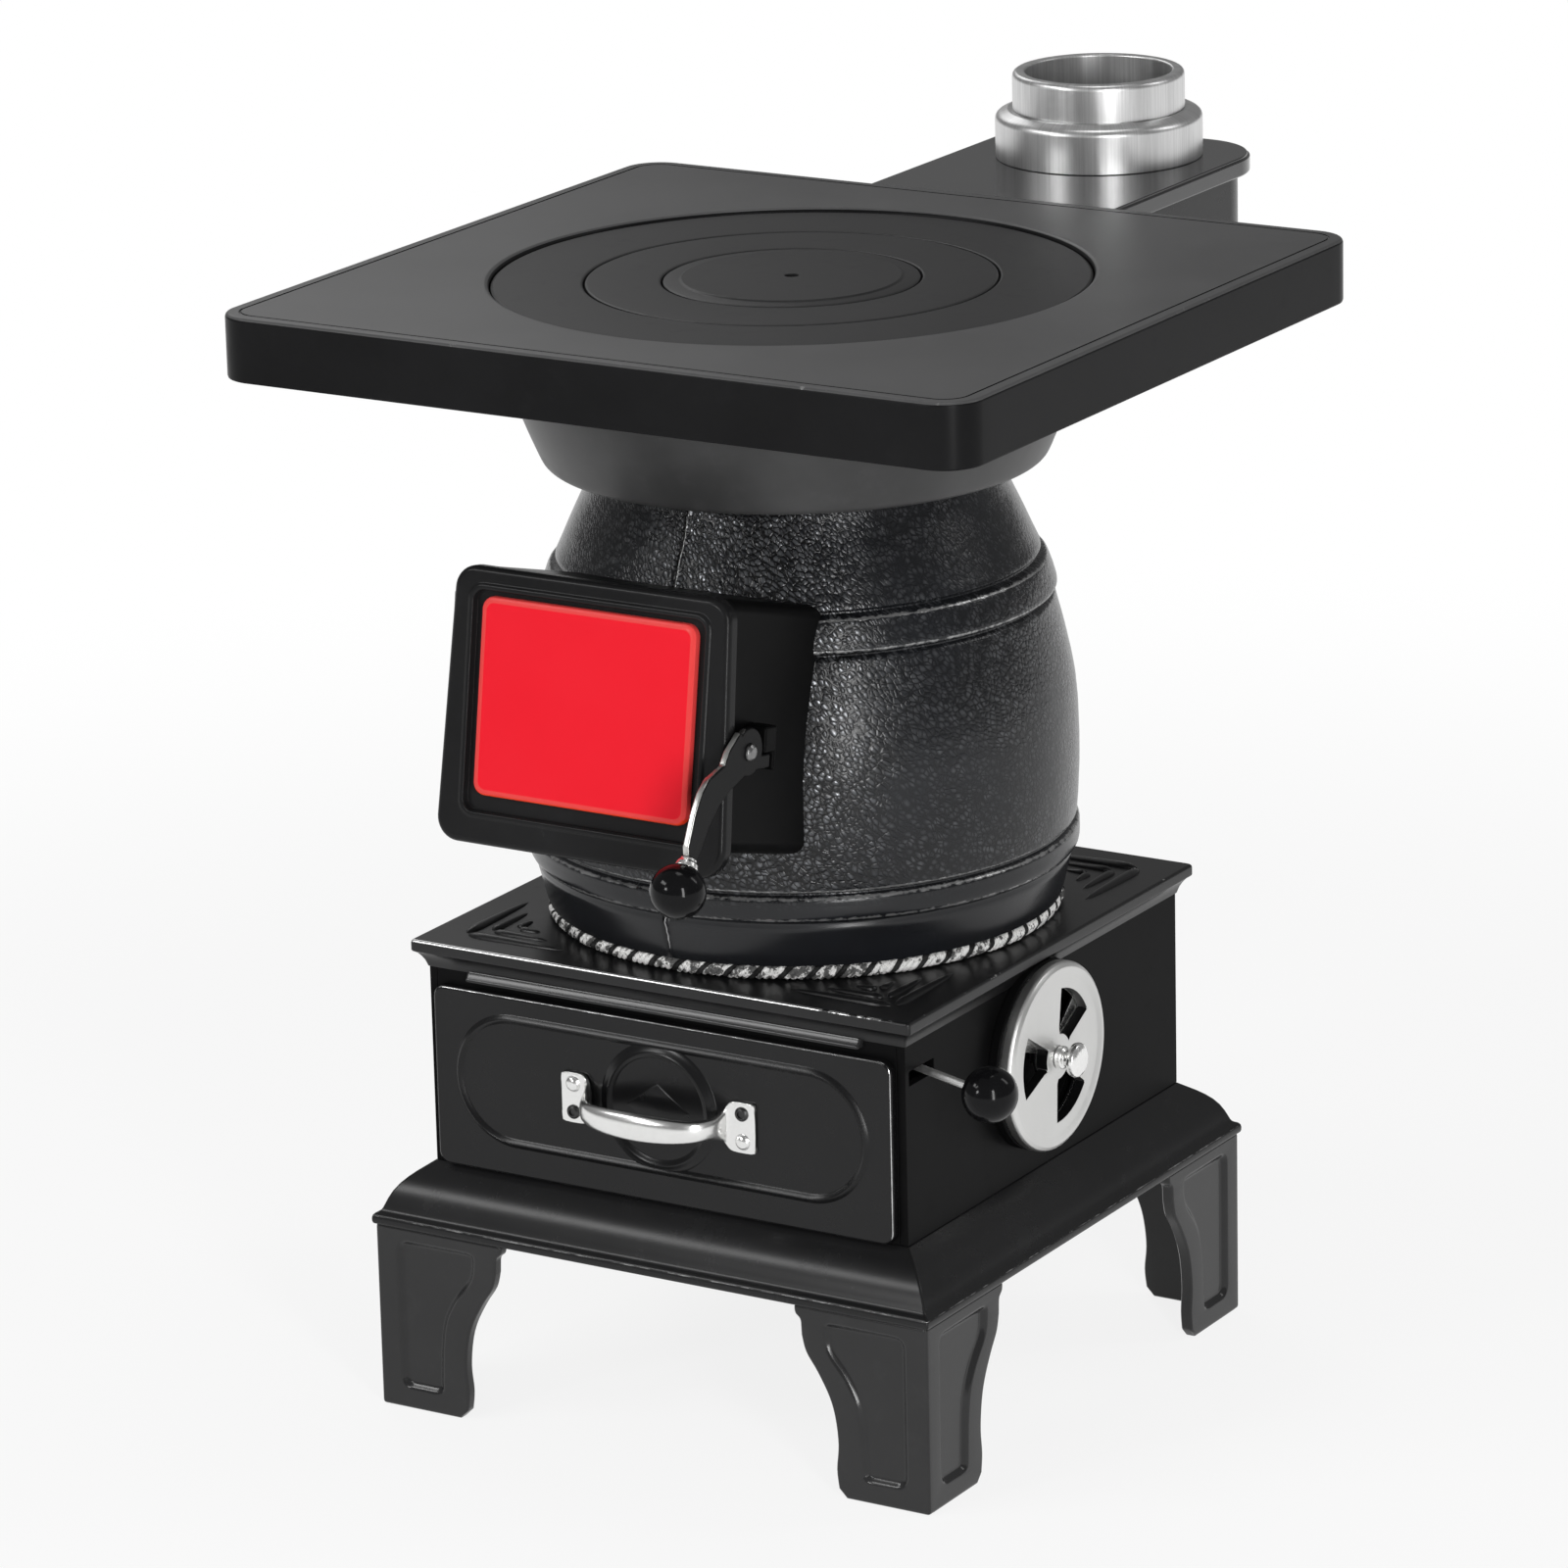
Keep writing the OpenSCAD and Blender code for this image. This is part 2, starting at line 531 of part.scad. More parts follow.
// Gravity latch on the right edge of the door
module latch_lever() color("#232325") placed() on_door() difference() {
  union() {
    translate([lever_x, 0, 0]) prism_x([[6, 6], [-5, -3.5], [-8.7, -10.4], [-23.1, -16], [-30, -23], [-35, -33],
      [-40.4, -49.5], lever_end(-4.2), lever_end(4.2), [-27.5, -53.5], [-21, -42], [-11, -31], [0, -24],
      [12, -18.5], [20, -10]], lever_t);
    at_pivot() rod_x(13, lever_x - lever_t / 2, lever_x + lever_t / 2);
    box(lever_x - lever_t / 2, lever_x + lever_t / 2, pivot[0], 37, -16, -8.5);
  }
  at_pivot() rod_x(pivot_r + pin_gap, 80, 99);
}
module latch_rivet() color("#b9b9b7") placed() on_door() at_pivot() {
  rod_x(pivot_r, 83, 94.5);
  rod_x(4.6, 81.4, 83.1);
  rotate([0, 90, 0]) rotate_extrude() polygon([[0, 93.6], [5, 93.6], [4.6, 95], [3, 96.2], [0, 96.6]]);
}
module at_latch_end() translate([lever_x, ball_c[0], ball_c[1]]) rotate([ball_dir - 90, 0, 0]) children();
module latch_ferrule() color("#c8c8c4") placed() on_door() at_latch_end()
  rotate_extrude() polygon([[0, 13.4], [6.4, 13.4], [5.6, 16.2], [4.4, 17.4], [4.4, 18.4], [0, 18.4]]);
module latch_knob() color("#101010") placed() on_door() at_latch_end() difference() {
  sphere(r = latch_ball_r, $fn = 64);
  translate([0, 0, 13.4]) cylinder(r = 12, h = 8);
}
module latch_keeper() color("#1e1e20") placed() on_door() {
  box(neck_half, 93.5, 31, 40, -8.2, 6);
  box(neck_half, 93.5, 40, 43, -18, 6);
}

// Bowl casting, open to the rear for the smoke duct
module bowl() color("#3a3a3c") placed() difference() {
  translate([0, 0, lift]) difference() {
    revolve(concat([[0, 528]], bowl_out, [[0, 610]]));
    revolve(bowl_in);
    translate([0, 0, 500]) cylinder(r = 102, h = 60);
  }
  box(-duct_half - duct_t, duct_half + duct_t, 60, 230, ledge_low - 37, ledge_low + 1);
}
// Smoke duct from the rear of the bowl, under the hob, to the smoke box
module smoke_duct() color("#3a3a3c") placed() difference() {
  union() {
    box(-duct_half - duct_t, duct_half + duct_t, 100, hob_back, ledge_low - 37, ledge_low);
    box(-duct_half - duct_t, duct_half + duct_t, 174, hob_back - hob_wall - gap, ledge_low - 1, hob_under);
  }
  box(-duct_half, duct_half, 60, hob_back + 11, ledge_low - 37 + duct_t, hob_top + 2);
  translate([0, 0, lift]) revolve(bowl_in);
}

// Hob: plate with deep skirt, ring ledge, edge groove and rear duct notch
module cooktop() color("#444446") placed() difference() {
  union() {
    difference() {
      rounded_slab(hob_w, hob_d, hob_r, hob_low, hob_top);
      rounded_slab(hob_w - 2 * hob_wall, hob_d - 2 * hob_wall, hob_r - hob_wall, hob_low - 1, hob_under);
    }
    translate([0, 0, ledge_low]) cylinder(r = 172, h = 14);
  }
  translate([0, 0, ledge_z]) cylinder(r = ring1_r + ring_gap, h = 20);
  translate([0, 0, ledge_low - 5]) cylinder(r = ring1_r - 7, h = 40);
  difference() {
    rounded_slab(hob_w - 15, hob_d - 15, hob_r - 7.5, hob_top - 0.6, hob_top + 1);
    rounded_slab(hob_w - 17.4, hob_d - 17.4, hob_r - 8.7, hob_top - 2, hob_top + 2);
  }
  box(-duct_half - duct_t - gap, duct_half + duct_t + gap, hob_back - hob_wall - 1, hob_back + 1,
    hob_low - 1, hob_under + gap);
}
// Rings and lid: each laps over the ledge of the one outside it
module ring_outer() color("#3c3c3e") placed() translate([0, 0, ledge_z]) rotate_extrude()
  polygon([[ring2_r - ring_lap, 0], [ring1_r, 0], [ring1_r, 7.4], [ring1_r - 0.6, 8], [ring2_r + ring_gap, 8],
    [ring2_r + ring_gap, 4], [ring2_r - ring_lap, 4]]);
module ring_middle() color("#3a3a3c") placed() translate([0, 0, ledge_z]) rotate_extrude()
  polygon([[ring3_r - ring_lap, 0], [ring2_r - ring_lap - ring_gap, 0], [ring2_r - ring_lap - ring_gap, 4],
    [ring2_r, 4], [ring2_r, 7.4], [ring2_r - 0.6, 8], [ring3_r + ring_gap, 8], [ring3_r + ring_gap, 4],
    [ring3_r - ring_lap, 4]]);
module centre_lid() color("#3f3f41") placed() translate([0, 0, ledge_z]) difference() {
  rotate_extrude() polygon([[0, 0], [ring3_r - ring_lap - ring_gap, 0], [ring3_r - ring_lap - ring_gap, 4],
    [ring3_r, 4], [ring3_r, 7.4], [ring3_r - 0.8, 8], [ring3_r - 9, 8.4], [ring3_r - 10.4, 9.2], [0, 9.2]]);
  translate([0, 0, 4.5]) cylinder(r = 3.8, h = 10);
}

// Smoke box outline with round rear corners
module rear_round(half, y0, y1, r) {
  translate([-half, y0]) square([2 * half, y1 - r - y0]);
  translate([-half + r, y0]) square([2 * (half - r), y1 - y0]);
  for (s = [-1, 1]) translate([s * (half - r), y1 - r]) circle(r = r);
}
module flue_box() color("#3b3b3d") placed() difference() {
  translate([0, 0, hob_top - 61.6]) linear_extrude(height = 50)
    rear_round(flue_lid_half - 7, hob_back, flue_back - 6, 37);
  translate([0, 0, hob_top - 56.6]) linear_extrude(height = 60)
    rear_round(flue_lid_half - 12, hob_back + 5, flue_back - 11, 32);
  box(-duct_half, duct_half, hob_back - 9, hob_back + 11, hob_top - 48.6, hob_top - 14);
}
module flue_lid() color("#454547") placed() difference() {
  union() {
    translate([0, 0, hob_top - 11.6]) linear_extrude(height = 9.4)
      rear_round(flue_lid_half, hob_back + gap, flue_back, 42);
    translate([0, 0, hob_top - 3]) linear_extrude(height = 2.4)
      rear_round(flue_lid_half - 1.6, hob_back + gap, flue_back - 1.6, 40.4);
  }
  translate([0, flue_y, 500]) cylinder(r = spigot_r - spigot_wall + 1.5, h = 200);
}
module flue_collar() color("#9c9c9b") placed() translate([0, flue_y, hob_top - 0.6]) rotate_extrude()
  polygon([[spigot_r - gap, 0], [collar_r, 0], [collar_r, 22.6], [collar_r - 0.8, 24.6], [collar_r - 2.6, 25.8],
    [spigot_r + 2.8, 28], [spigot_r - gap, 28]]);
module flue_spigot() color("#a2a2a1") placed() translate([0, flue_y, hob_top - 0.6]) rotate_extrude()
  polygon([[spigot_r - spigot_wall, 0], [spigot_r - 0.6, 0], [spigot_r - 0.6, 28.3], [spigot_r, 28.3],
    [spigot_r, 47.4], [spigot_r - 1, 49.2], [spigot_r - 2.8, 50], [spigot_r - spigot_wall + 1, 50],
    [spigot_r - spigot_wall, 49]]);

leg_front_left();
leg_front_right();
leg_rear_left();
leg_rear_right();
leg_bolts();
base_skirt();
ash_wall_left();
ash_wall_right();
ash_wall_rear();
ash_front_frame();
base_top_plate();
ash_tray();
drawer_front();
drawer_handle();
handle_rivets();
handle_screws();
damper_seat();
damper_plate();
damper_disc();
damper_bolt();
damper_nut();
grate();
shaker_rod();
shaker_knob();
rope_seal();
belly();
door_neck();
fire_door();
door_panel();
hinge_pins();
latch_lever();
latch_rivet();
latch_ferrule();
latch_knob();
latch_keeper();
bowl();
smoke_duct();
cooktop();
ring_outer();
ring_middle();
centre_lid();
flue_box();
flue_lid();
flue_collar();
flue_spigot();
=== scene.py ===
import json
import math

import bmesh
import bpy
from mathutils import Matrix, Vector, noise
from mathutils.geometry import tessellate_polygon


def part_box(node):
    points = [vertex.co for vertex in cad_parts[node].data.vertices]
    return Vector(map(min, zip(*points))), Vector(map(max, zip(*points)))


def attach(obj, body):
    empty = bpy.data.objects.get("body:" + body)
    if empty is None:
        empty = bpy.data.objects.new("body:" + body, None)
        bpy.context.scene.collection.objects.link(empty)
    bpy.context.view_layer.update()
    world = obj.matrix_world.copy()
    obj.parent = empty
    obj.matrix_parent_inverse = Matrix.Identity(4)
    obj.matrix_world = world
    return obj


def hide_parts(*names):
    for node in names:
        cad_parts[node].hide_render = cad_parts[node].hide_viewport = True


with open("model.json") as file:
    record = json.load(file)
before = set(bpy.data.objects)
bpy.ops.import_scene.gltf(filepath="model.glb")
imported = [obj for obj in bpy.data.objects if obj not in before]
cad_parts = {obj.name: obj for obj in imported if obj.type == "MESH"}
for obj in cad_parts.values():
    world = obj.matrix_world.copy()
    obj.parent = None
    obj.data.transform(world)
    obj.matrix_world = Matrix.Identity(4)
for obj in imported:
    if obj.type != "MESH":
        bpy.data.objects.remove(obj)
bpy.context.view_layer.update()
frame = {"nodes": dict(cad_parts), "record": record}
slotOfNode = {part["node"]: part["material_slot"] for part in frame["record"]["subparts"]}
bodyOfNode = {node: body for body, nodes in frame["record"]["behaviour"]["bodies"].items() for node in nodes}
print("frame loaded:", len(frame["nodes"]), "nodes")

mm = 0.001


class Link:  # one output socket; sums and products of it add Math nodes
    def __init__(self, graph, socket):
        self.graph, self.socket = graph, socket

    def maths(self, operation, *values):
        return self.graph.node("ShaderNodeMath", {"operation": operation}, dict(enumerate(values)))

    def most(self, other):
        return self.maths("MAXIMUM", self, other)

    def between(self, low, high, fromValue=0.0, toValue=1.0):
        return self.graph.node("ShaderNodeMapRange", {"interpolation_type": "SMOOTHSTEP"},
                               {"Value": self, "From Min": low, "From Max": high, "To Min": fromValue, "To Max": toValue})


def operator(operation, reflected):
    return lambda self, other: self.maths(operation, *((other, self) if reflected else (self, other)))


for word, operation in (("add", "ADD"), ("sub", "SUBTRACT"), ("mul", "MULTIPLY"), ("truediv", "DIVIDE"), ("pow", "POWER")):
    setattr(Link, f"__{word}__", operator(operation, False))
    setattr(Link, f"__r{word}__", operator(operation, True))


class Graph:  # writes the nodes of one tree, shader or geometry
    def __init__(self, tree):
        self.tree = tree

    def node(self, kind, settings=None, values=None, out=0):
        made = self.tree.nodes.new(kind)
        for key, setting in (settings or {}).items():
            setattr(made, key, setting)
        for key, value in (values or {}).items():
            if isinstance(value, Link):
                self.tree.links.new(value.socket, made.inputs[key])
            else:
                made.inputs[key].default_value = value
        return Link(self, made.outputs[out]) if len(made.outputs) else None

    def noise(self, place, scale, detail=3.0, roughness=0.55, out="Fac"):
        values = {"Vector": place, "Scale": scale, "Detail": detail, "Roughness": roughness}
        return self.node("ShaderNodeTexNoise", {}, values, out)

    def cells(self, place, scale, feature="F1"):
        return self.node("ShaderNodeTexVoronoi", {"feature": feature}, {"Vector": place, "Scale": scale})

    def stretched(self, place, location=(0, 0, 0), rotation=(0, 0, 0), scale=(1, 1, 1)):
        values = {"Vector": place, "Location": location, "Rotation": rotation, "Scale": scale}
        return self.node("ShaderNodeMapping", {}, values)

    def axes(self, place):
        split = self.node("ShaderNodeSeparateXYZ", {}, {"Vector": place})
        return [Link(self, socket) for socket in split.socket.node.outputs]

    def vector(self, x=0.0, y=0.0, z=0.0):
        return self.node("ShaderNodeCombineXYZ", {}, {"X": x, "Y": y, "Z": z})

    def attribute(self, name):
        return self.node("ShaderNodeAttribute", {"attribute_name": name}, out="Fac")

    def blend(self, factor, first, second):
        return self.node("ShaderNodeMix", {"data_type": "RGBA"}, {0: factor, 6: colour(first), 7: colour(second)}, 2)

    def bump(self, height, strength, distance):
        return self.node("ShaderNodeBump", {}, {"Height": height, "Strength": strength, "Distance": distance})


def colour(value):  # three numbers get their alpha
    return value if isinstance(value, Link) or len(value) == 4 else (*value, 1.0)


def tinted(base, share):
    return [min(1, channel * share) for channel in base]


def newFinish(name):
    material = bpy.data.materials.new(name)
    material.use_nodes = True
    material.node_tree.nodes.clear()
    graph = Graph(material.node_tree)
    return material, graph, graph.node("ShaderNodeTexCoord", out="Object")


def close(material, graph, values):
    values = {key: colour(value) if key.endswith("Color") else value for key, value in values.items()}
    graph.node("ShaderNodeOutputMaterial", {}, {"Surface": graph.node("ShaderNodeBsdfPrincipled", {}, values)})
    material.diffuse_color = (0.3, 0.3, 0.3, 1)
    return material


def castFinish(name, base, roughness, specular=0.3, grit=0.25, clouds=0.25, coat=0.0, wearGlint=(0.45, 0.45, 0.45),
               mottle=1.0):  # the worn colour is bare iron at edges, and it also paints edge highlights; mottle: how unevenly it shines
    material, graph, place = newFinish(name)
    cloud = graph.noise(place, 11, 4)
    fine = graph.noise(place, 900, 2, 0.6)
    pits = graph.cells(place, 420).between(0.0, 0.35)
    dust = graph.noise(place, 60, 5, 0.65).between(0.52, 0.75)
    chips = graph.noise(place, 95, 4, 0.65)
    # bare iron where the wear attribute marks worn edges; the same marks also lay painted highlights along chosen edges
    bare = (graph.attribute("wear_and_glint") + chips - 1.42).between(0.0, 0.12)
    tone = graph.blend(cloud.between(0.3, 0.7), tinted(base, 1 - clouds), tinted(base, 1 + clouds))
    tone = graph.blend(dust * 0.18, tone, tinted(base, 1.9))
    return close(material, graph, {
        "Base Color": graph.blend(bare, tone, wearGlint), "Metallic": bare * 0.8,
        "Roughness": cloud * 0.14 * mottle + dust * 0.08 * mottle - bare * 0.1 + (roughness - 0.09 * mottle),
        "Specular IOR Level": specular, "Coat Weight": coat, "Coat Roughness": 0.12,
        "Normal": graph.bump(fine * 0.6 + pits * 0.4, grit, 0.12 * mm)})


def grainFinish(name, grain):
    # leather-like casting skin: cells stretched along a slant, laid out round the belly from the rear casting seam
    material, graph, place = newFinish(name)
    x, y, z = graph.axes(graph.stretched(place, location=(0, -axisY * mm, 0)))
    turn = math.radians(180 - grain["seam"])
    across = x * math.cos(turn) - y * math.sin(turn)
    along = x * math.sin(turn) + y * math.cos(turn)
    flat = graph.vector(along.maths("ARCTAN2", along, across) * 0.15, z)
    drift = graph.noise(place, grain["driftScale"], 2, 0.5, "Color")
    offset = graph.node("ShaderNodeVectorMath", {"operation": "SCALE"}, {0: drift, "Scale": grain["drift"]})
    warped = graph.node("ShaderNodeVectorMath", {"operation": "ADD"}, {0: flat, 1: offset})
    turned = graph.stretched(warped, rotation=(0, 0, math.radians(grain["slant"])))
    slanted = graph.stretched(turned, scale=(grain["stretch"], 1, 1))
    pebbles = graph.cells(slanted, grain["cellScale"]).between(0.05, 0.7, 1.0, 0.0)
    creases = graph.cells(slanted, grain["cellScale"], "DISTANCE_TO_EDGE").between(0.02, 0.2)
    fine = graph.noise(place, 1500, 3, 0.65)
    upper = z.between(grain["smoothBelow"] - 0.006, grain["smoothBelow"] + 0.014)
    radius = (x * x + y * y) ** 0.5
    front = (y / radius * -1 + graph.noise(place, 22, 3) * 0.5).between(0.75, 1.15)
    patches = graph.noise(place, 15, 3).between(0.35, 0.65, 0.2, 0.55)
    # the grain fades left of the front seam, and with fewer rubbed crests there the left side is painted darker as
    # shade
    skin = upper * front.most(patches) * x.between(*grain["calmShadedLeft"], 0.35, 1.0)
    height = (pebbles * 0.5 + creases * 0.5) * skin + fine * 0.05
    crest = pebbles * creases * skin * graph.noise(place, 130, 3, 0.6).between(0.35, 0.6)
    cloud = graph.noise(place, 9, 4)
    tone = graph.blend(cloud.between(0.35, 0.75), grain["light"], grain["blue"])
    # painted shade: the creases between the pebbles are darkened
    tone = graph.blend((1 - creases) * skin, tone, grain["creaseShade"])
    tone = graph.blend(crest, tone, grain["rubbed"])
    # bare metal with painted glints on the seam and hoop ridges; painted shade in the groove beside each seam
    ridge = (graph.attribute("wear_and_glint") + graph.noise(place, 230, 4, 0.7) - 1.0).between(0.0, 0.3)
    tone = graph.blend(graph.attribute("groove_shade"), graph.blend(ridge, tone, grain["bare"]), grain["creaseShade"])
    return close(material, graph, {
        "Base Color": tone, "Metallic": (ridge * 0.7).most(crest * 0.75),
        "Roughness": grain["roughness"] - crest * 0.1 + cloud * 0.06, "Specular IOR Level": grain["specular"],
        "Normal": graph.bump(height, grain["strength"], grain["depth"])})


def metalFinish(name, base, roughness, pattern="cloud", centre=(0, 0, 0), strength=0.15, amount=0.12):
    material, graph, place = newFinish(name)
    local = graph.stretched(place, location=[-value for value in centre])
    x, y, z = graph.axes(local)
    if pattern == "turned":  # fine rings round an axis along X
        lines = graph.noise(graph.vector((y * y + z * z) ** 0.5), 2200, 2, 0.7)
        broad = graph.noise(local, 26, 3)
    elif pattern == "drawn":  # streaks along Z round an upright axis
        flat = graph.vector(x.maths("ARCTAN2", x, y) * 0.06, z * 0.02)
        lines, broad = graph.noise(flat, 620, 4, 0.75), graph.noise(flat, 60, 3, 0.6)
    else:
        lines, broad = graph.noise(local, 700, 3, 0.6), graph.noise(local, 40, 4, 0.6)
    shade = (lines * 0.5 + broad * 0.5).between(0.32, 0.68)
    tone = graph.blend(shade, tinted(base, 1 - amount), tinted(base, 1 + amount))
    return close(material, graph, {
        "Base Color": tone, "Metallic": 1.0, "Roughness": broad * 0.12 + lines * 0.08 + (roughness - 0.1),
        "Normal": graph.bump(lines, strength, 0.03 * mm)})


def enamelFinish(name, base, light):
    material, graph, place = newFinish(name)
    cloud = graph.noise(place, 24, 3)
    peel = graph.noise(place, 420, 2, 0.5)
    return close(material, graph, {
        "Base Color": graph.blend(cloud.between(0.3, 0.7) * 0.2, base, light), "Roughness": cloud * 0.08 + 0.3,
        "Specular IOR Level": 0.12, "Coat Weight": 0.04, "Coat Roughness": 0.15,
        "Normal": graph.bump(peel, 0.05, 0.05 * mm)})


def knobFinish(name):
    material, graph, place = newFinish(name)
    cloud = graph.noise(place, 30, 3)
    smear = graph.noise(graph.stretched(place, rotation=(0.5, 0.3, 0.2), scale=(1, 1, 3)), 90, 4, 0.6).between(0.5, 0.8)
    return close(material, graph, {
        "Base Color": graph.blend(cloud, (0.003, 0.003, 0.003), (0.007, 0.007, 0.008)),
        "Roughness": smear * 0.08 + 0.12, "Specular IOR Level": 0.12, "Coat Weight": 0.05, "Coat Roughness": 0.06,
        "Normal": graph.bump(cloud, 0.03, 0.2 * mm)})


def ropeFinish(name, pale, soot):
    material, graph, place = newFinish(name)
    fibres = graph.noise(graph.stretched(place, scale=(1, 1, 0.35)), 1500, 4, 0.75)
    sooty = graph.noise(place, 16, 2).between(0.4, 0.62, 0.06, -0.05)
    stain = (graph.noise(place, 190, 4, 0.75) + sooty).between(0.5, 0.58)
    tone = graph.blend(stain * 0.9, pale, soot)
    tone = graph.blend(fibres.between(0.35, 0.5, 0.4, 0.0), tone, tinted(soot, 0.35))
    return close(material, graph, {
        "Base Color": tone, "Roughness": fibres * 0.2 + 0.7, "Specular IOR Level": 0.2,
        "Normal": graph.bump(fibres, 0.9, 0.35 * mm)})


def leverFinish(name):
    material, graph, place = newFinish(name)
    chips = graph.noise(place, 330, 5, 0.7)
    bare = (graph.attribute("wear_and_glint") * 1.25 + chips - 0.95).between(0.0, 0.25)
    grit = graph.noise(place, 1100, 3, 0.6)
    return close(material, graph, {
        "Base Color": graph.blend(bare, (0.005, 0.005, 0.0053), (0.62, 0.62, 0.6)),
        "Metallic": bare, "Roughness": 0.34 - bare * 0.06 + grit * 0.08, "Specular IOR Level": 0.1,
        "Normal": graph.bump(chips * 0.6 + grit * 0.4, 0.35, 0.12 * mm)})


def centreOf(node):  # the middle of a node's box, in m
    return [(low + high) / 2 for low, high in zip(*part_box(node))]


axisY = centreOf("ring_outer")[1] / mm
flueCentre = [0.0, centreOf("flue_spigot")[1], 0.0]
damperCentre = [0.0] + centreOf("damper_disc")[1:]
bellyGrain = {
    "cellScale": 400, "stretch": 0.62, "slant": 38, "seam": 90, "driftScale": 60, "drift": 0.005, "smoothBelow": 0.318,
    "calmShadedLeft": (-0.03, 0.004), "strength": 1.0, "depth": 0.36 * mm, "roughness": 0.22, "specular": 0.36,
    "creaseShade": (0.0015, 0.0015, 0.0018), "light": (0.010, 0.0105, 0.012), "blue": (0.013, 0.0145, 0.018),
    "rubbed": (0.17, 0.175, 0.185), "bare": (0.36, 0.36, 0.36)}
finishes = {
    "cast_satin": castFinish("satinCasting", (0.0125, 0.0125, 0.013), 0.27, 0.26, 0.05, 0.1, mottle=0.4),
    "plate_satin": castFinish("plateSatin", (0.0095, 0.0095, 0.010), 0.33, 0.34, 0.08, wearGlint=(0.6, 0.6, 0.6), mottle=0.5),
    # painted light: a lighter copy of the cast iron for the feet and the rail over the drawer
    "foot_lit_satin": castFinish("footLitSatin", (0.023, 0.023, 0.0235), 0.17, 0.32, 0.06, 0.12, mottle=0.3),
    # painted light: the bowl lies in the hob's shade and gets a much lighter copy of the cast iron
    "bowl_lit_satin": castFinish("bowlLitSatin", (0.058, 0.058, 0.0585), 0.42, 0.28, 0.15),
    "box_black": castFinish("boxBlack", (0.0054, 0.0054, 0.0056), 0.34, 0.03, 0.15),
    "cast_gloss": castFinish("glossCasting", (0.016, 0.016, 0.017), 0.14, 0.5, 0.04, 0.15, 0.25, mottle=0.3),
    "cast_grain": grainFinish("bellyGrain", bellyGrain),
    "door_black": castFinish("doorSatin", (0.0125, 0.0125, 0.013), 0.24, 0.11, 0.06, 0.15, mottle=0.5),
    "drawer_black": castFinish("drawerSatin", (0.006, 0.006, 0.0064), 0.27, 0.28, 0.08, 0.15, wearGlint=(0.62, 0.62, 0.62),
                               mottle=0.6),
    # hob top and hob walls: a lit and a shaded copy of one iron, painted light and shade
    "hob_iron": castFinish("hobTopLit", (0.076, 0.076, 0.077), 0.40, 0.3, 0.1, 0.1, wearGlint=(0.35, 0.35, 0.35), mottle=0.35),
    "hob_wall": castFinish("hobWallShade", (0.0095, 0.0095, 0.010), 0.34, 0.06, 0.12, 0.15),
    "ring_iron": castFinish("ringIron", (0.017, 0.017, 0.0175), 0.42, 0.22, 0.12, 0.15, mottle=0.4),
    "grate_iron": castFinish("grateIron", (0.05, 0.045, 0.04), 0.7, 0.3, 0.9, 0.35),
    "latch_iron": leverFinish("latchIron"),
    "zinc_steel": metalFinish("zincSteel", (0.42, 0.43, 0.44), 0.42),
    "sheet_steel": metalFinish("traySheet", (0.16, 0.16, 0.165), 0.5, amount=0.3),
    "dark_screw": metalFinish("darkScrew", (0.06, 0.06, 0.06), 0.4),
    "rivet_steel": metalFinish("rivetSteel", (0.22, 0.22, 0.22), 0.3),
    "bright_rod": metalFinish("brightRod", (0.90, 0.90, 0.89), 0.26, strength=0.06, amount=0.05),
    "rod_satin": metalFinish("rodSatin", (0.95, 0.95, 0.94), 0.5, strength=0.05, amount=0.03),
    "polished_aluminium": metalFinish("polishedAluminium", (0.80, 0.80, 0.79), 0.24, strength=0.012, amount=0.03),
    "damper_bright": metalFinish("damperAluminium", (0.68, 0.68, 0.67), 0.4, "turned", damperCentre, 0.08, 0.06),
    "flue_steel": metalFinish("flueSteel", (0.64, 0.64, 0.64), 0.36, "drawn", flueCentre, 0.06, 0.2),
    "knob_gloss": knobFinish("knobGloss"),
    "red_enamel": enamelFinish("redEnamel", (0.863, 0.011, 0.025), (0.90, 0.018, 0.034)),
    "sealing_rope": ropeFinish("paleRope", (0.96, 0.955, 0.94), (0.02, 0.02, 0.02)),
    "red_edge_sheen": enamelFinish("redEdgeSheen", (0.82, 0.060, 0.058), (0.86, 0.085, 0.080)),
    "red_lower_sheen": enamelFinish("redLowerSheen", (0.83, 0.046, 0.012), (0.87, 0.065, 0.022)),
    "rope_dark": ropeFinish("sootyRope", (0.03, 0.03, 0.03), (0.006, 0.006, 0.006)),
}
print("finishes made:", len(finishes))


def newObject(name, data, finish=None):  # finish: its name in finishes
    piece = bpy.data.objects.new(name, data)
    bpy.context.scene.collection.objects.link(piece)
    if finish:
        data.materials.append(finishes[finish])
    return piece


def bake(piece):  # the modifiers' result becomes the piece's own mesh
    bpy.context.view_layer.update()
    graph = bpy.context.evaluated_depsgraph_get()
    mesh = bpy.data.meshes.new_from_object(piece.evaluated_get(graph), preserve_all_data_layers=True, depsgraph=graph)
    piece.modifiers.clear()
    piece.data = mesh
    return piece


def meshOf(name, vertices, faces):
    mesh = bpy.data.meshes.new(name)
    mesh.from_pydata(vertices, [], faces)
    mesh.update()
    return mesh


def smoothShade(mesh, angle=32):
    mesh.shade_smooth()
    mesh.set_sharp_from_angle(angle=math.radians(angle))


def weighted(piece, angle=32):
    smoothShade(piece.data, angle)
    modifier = piece.modifiers.new("normals", "WEIGHTED_NORMAL")
    modifier.keep_sharp = True
    modifier.weight = 60
    return bake(piece)


def seat(piece, body, slotName, *nodes):
    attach(piece, body)
    if nodes:
        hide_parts(*nodes)
    return piece


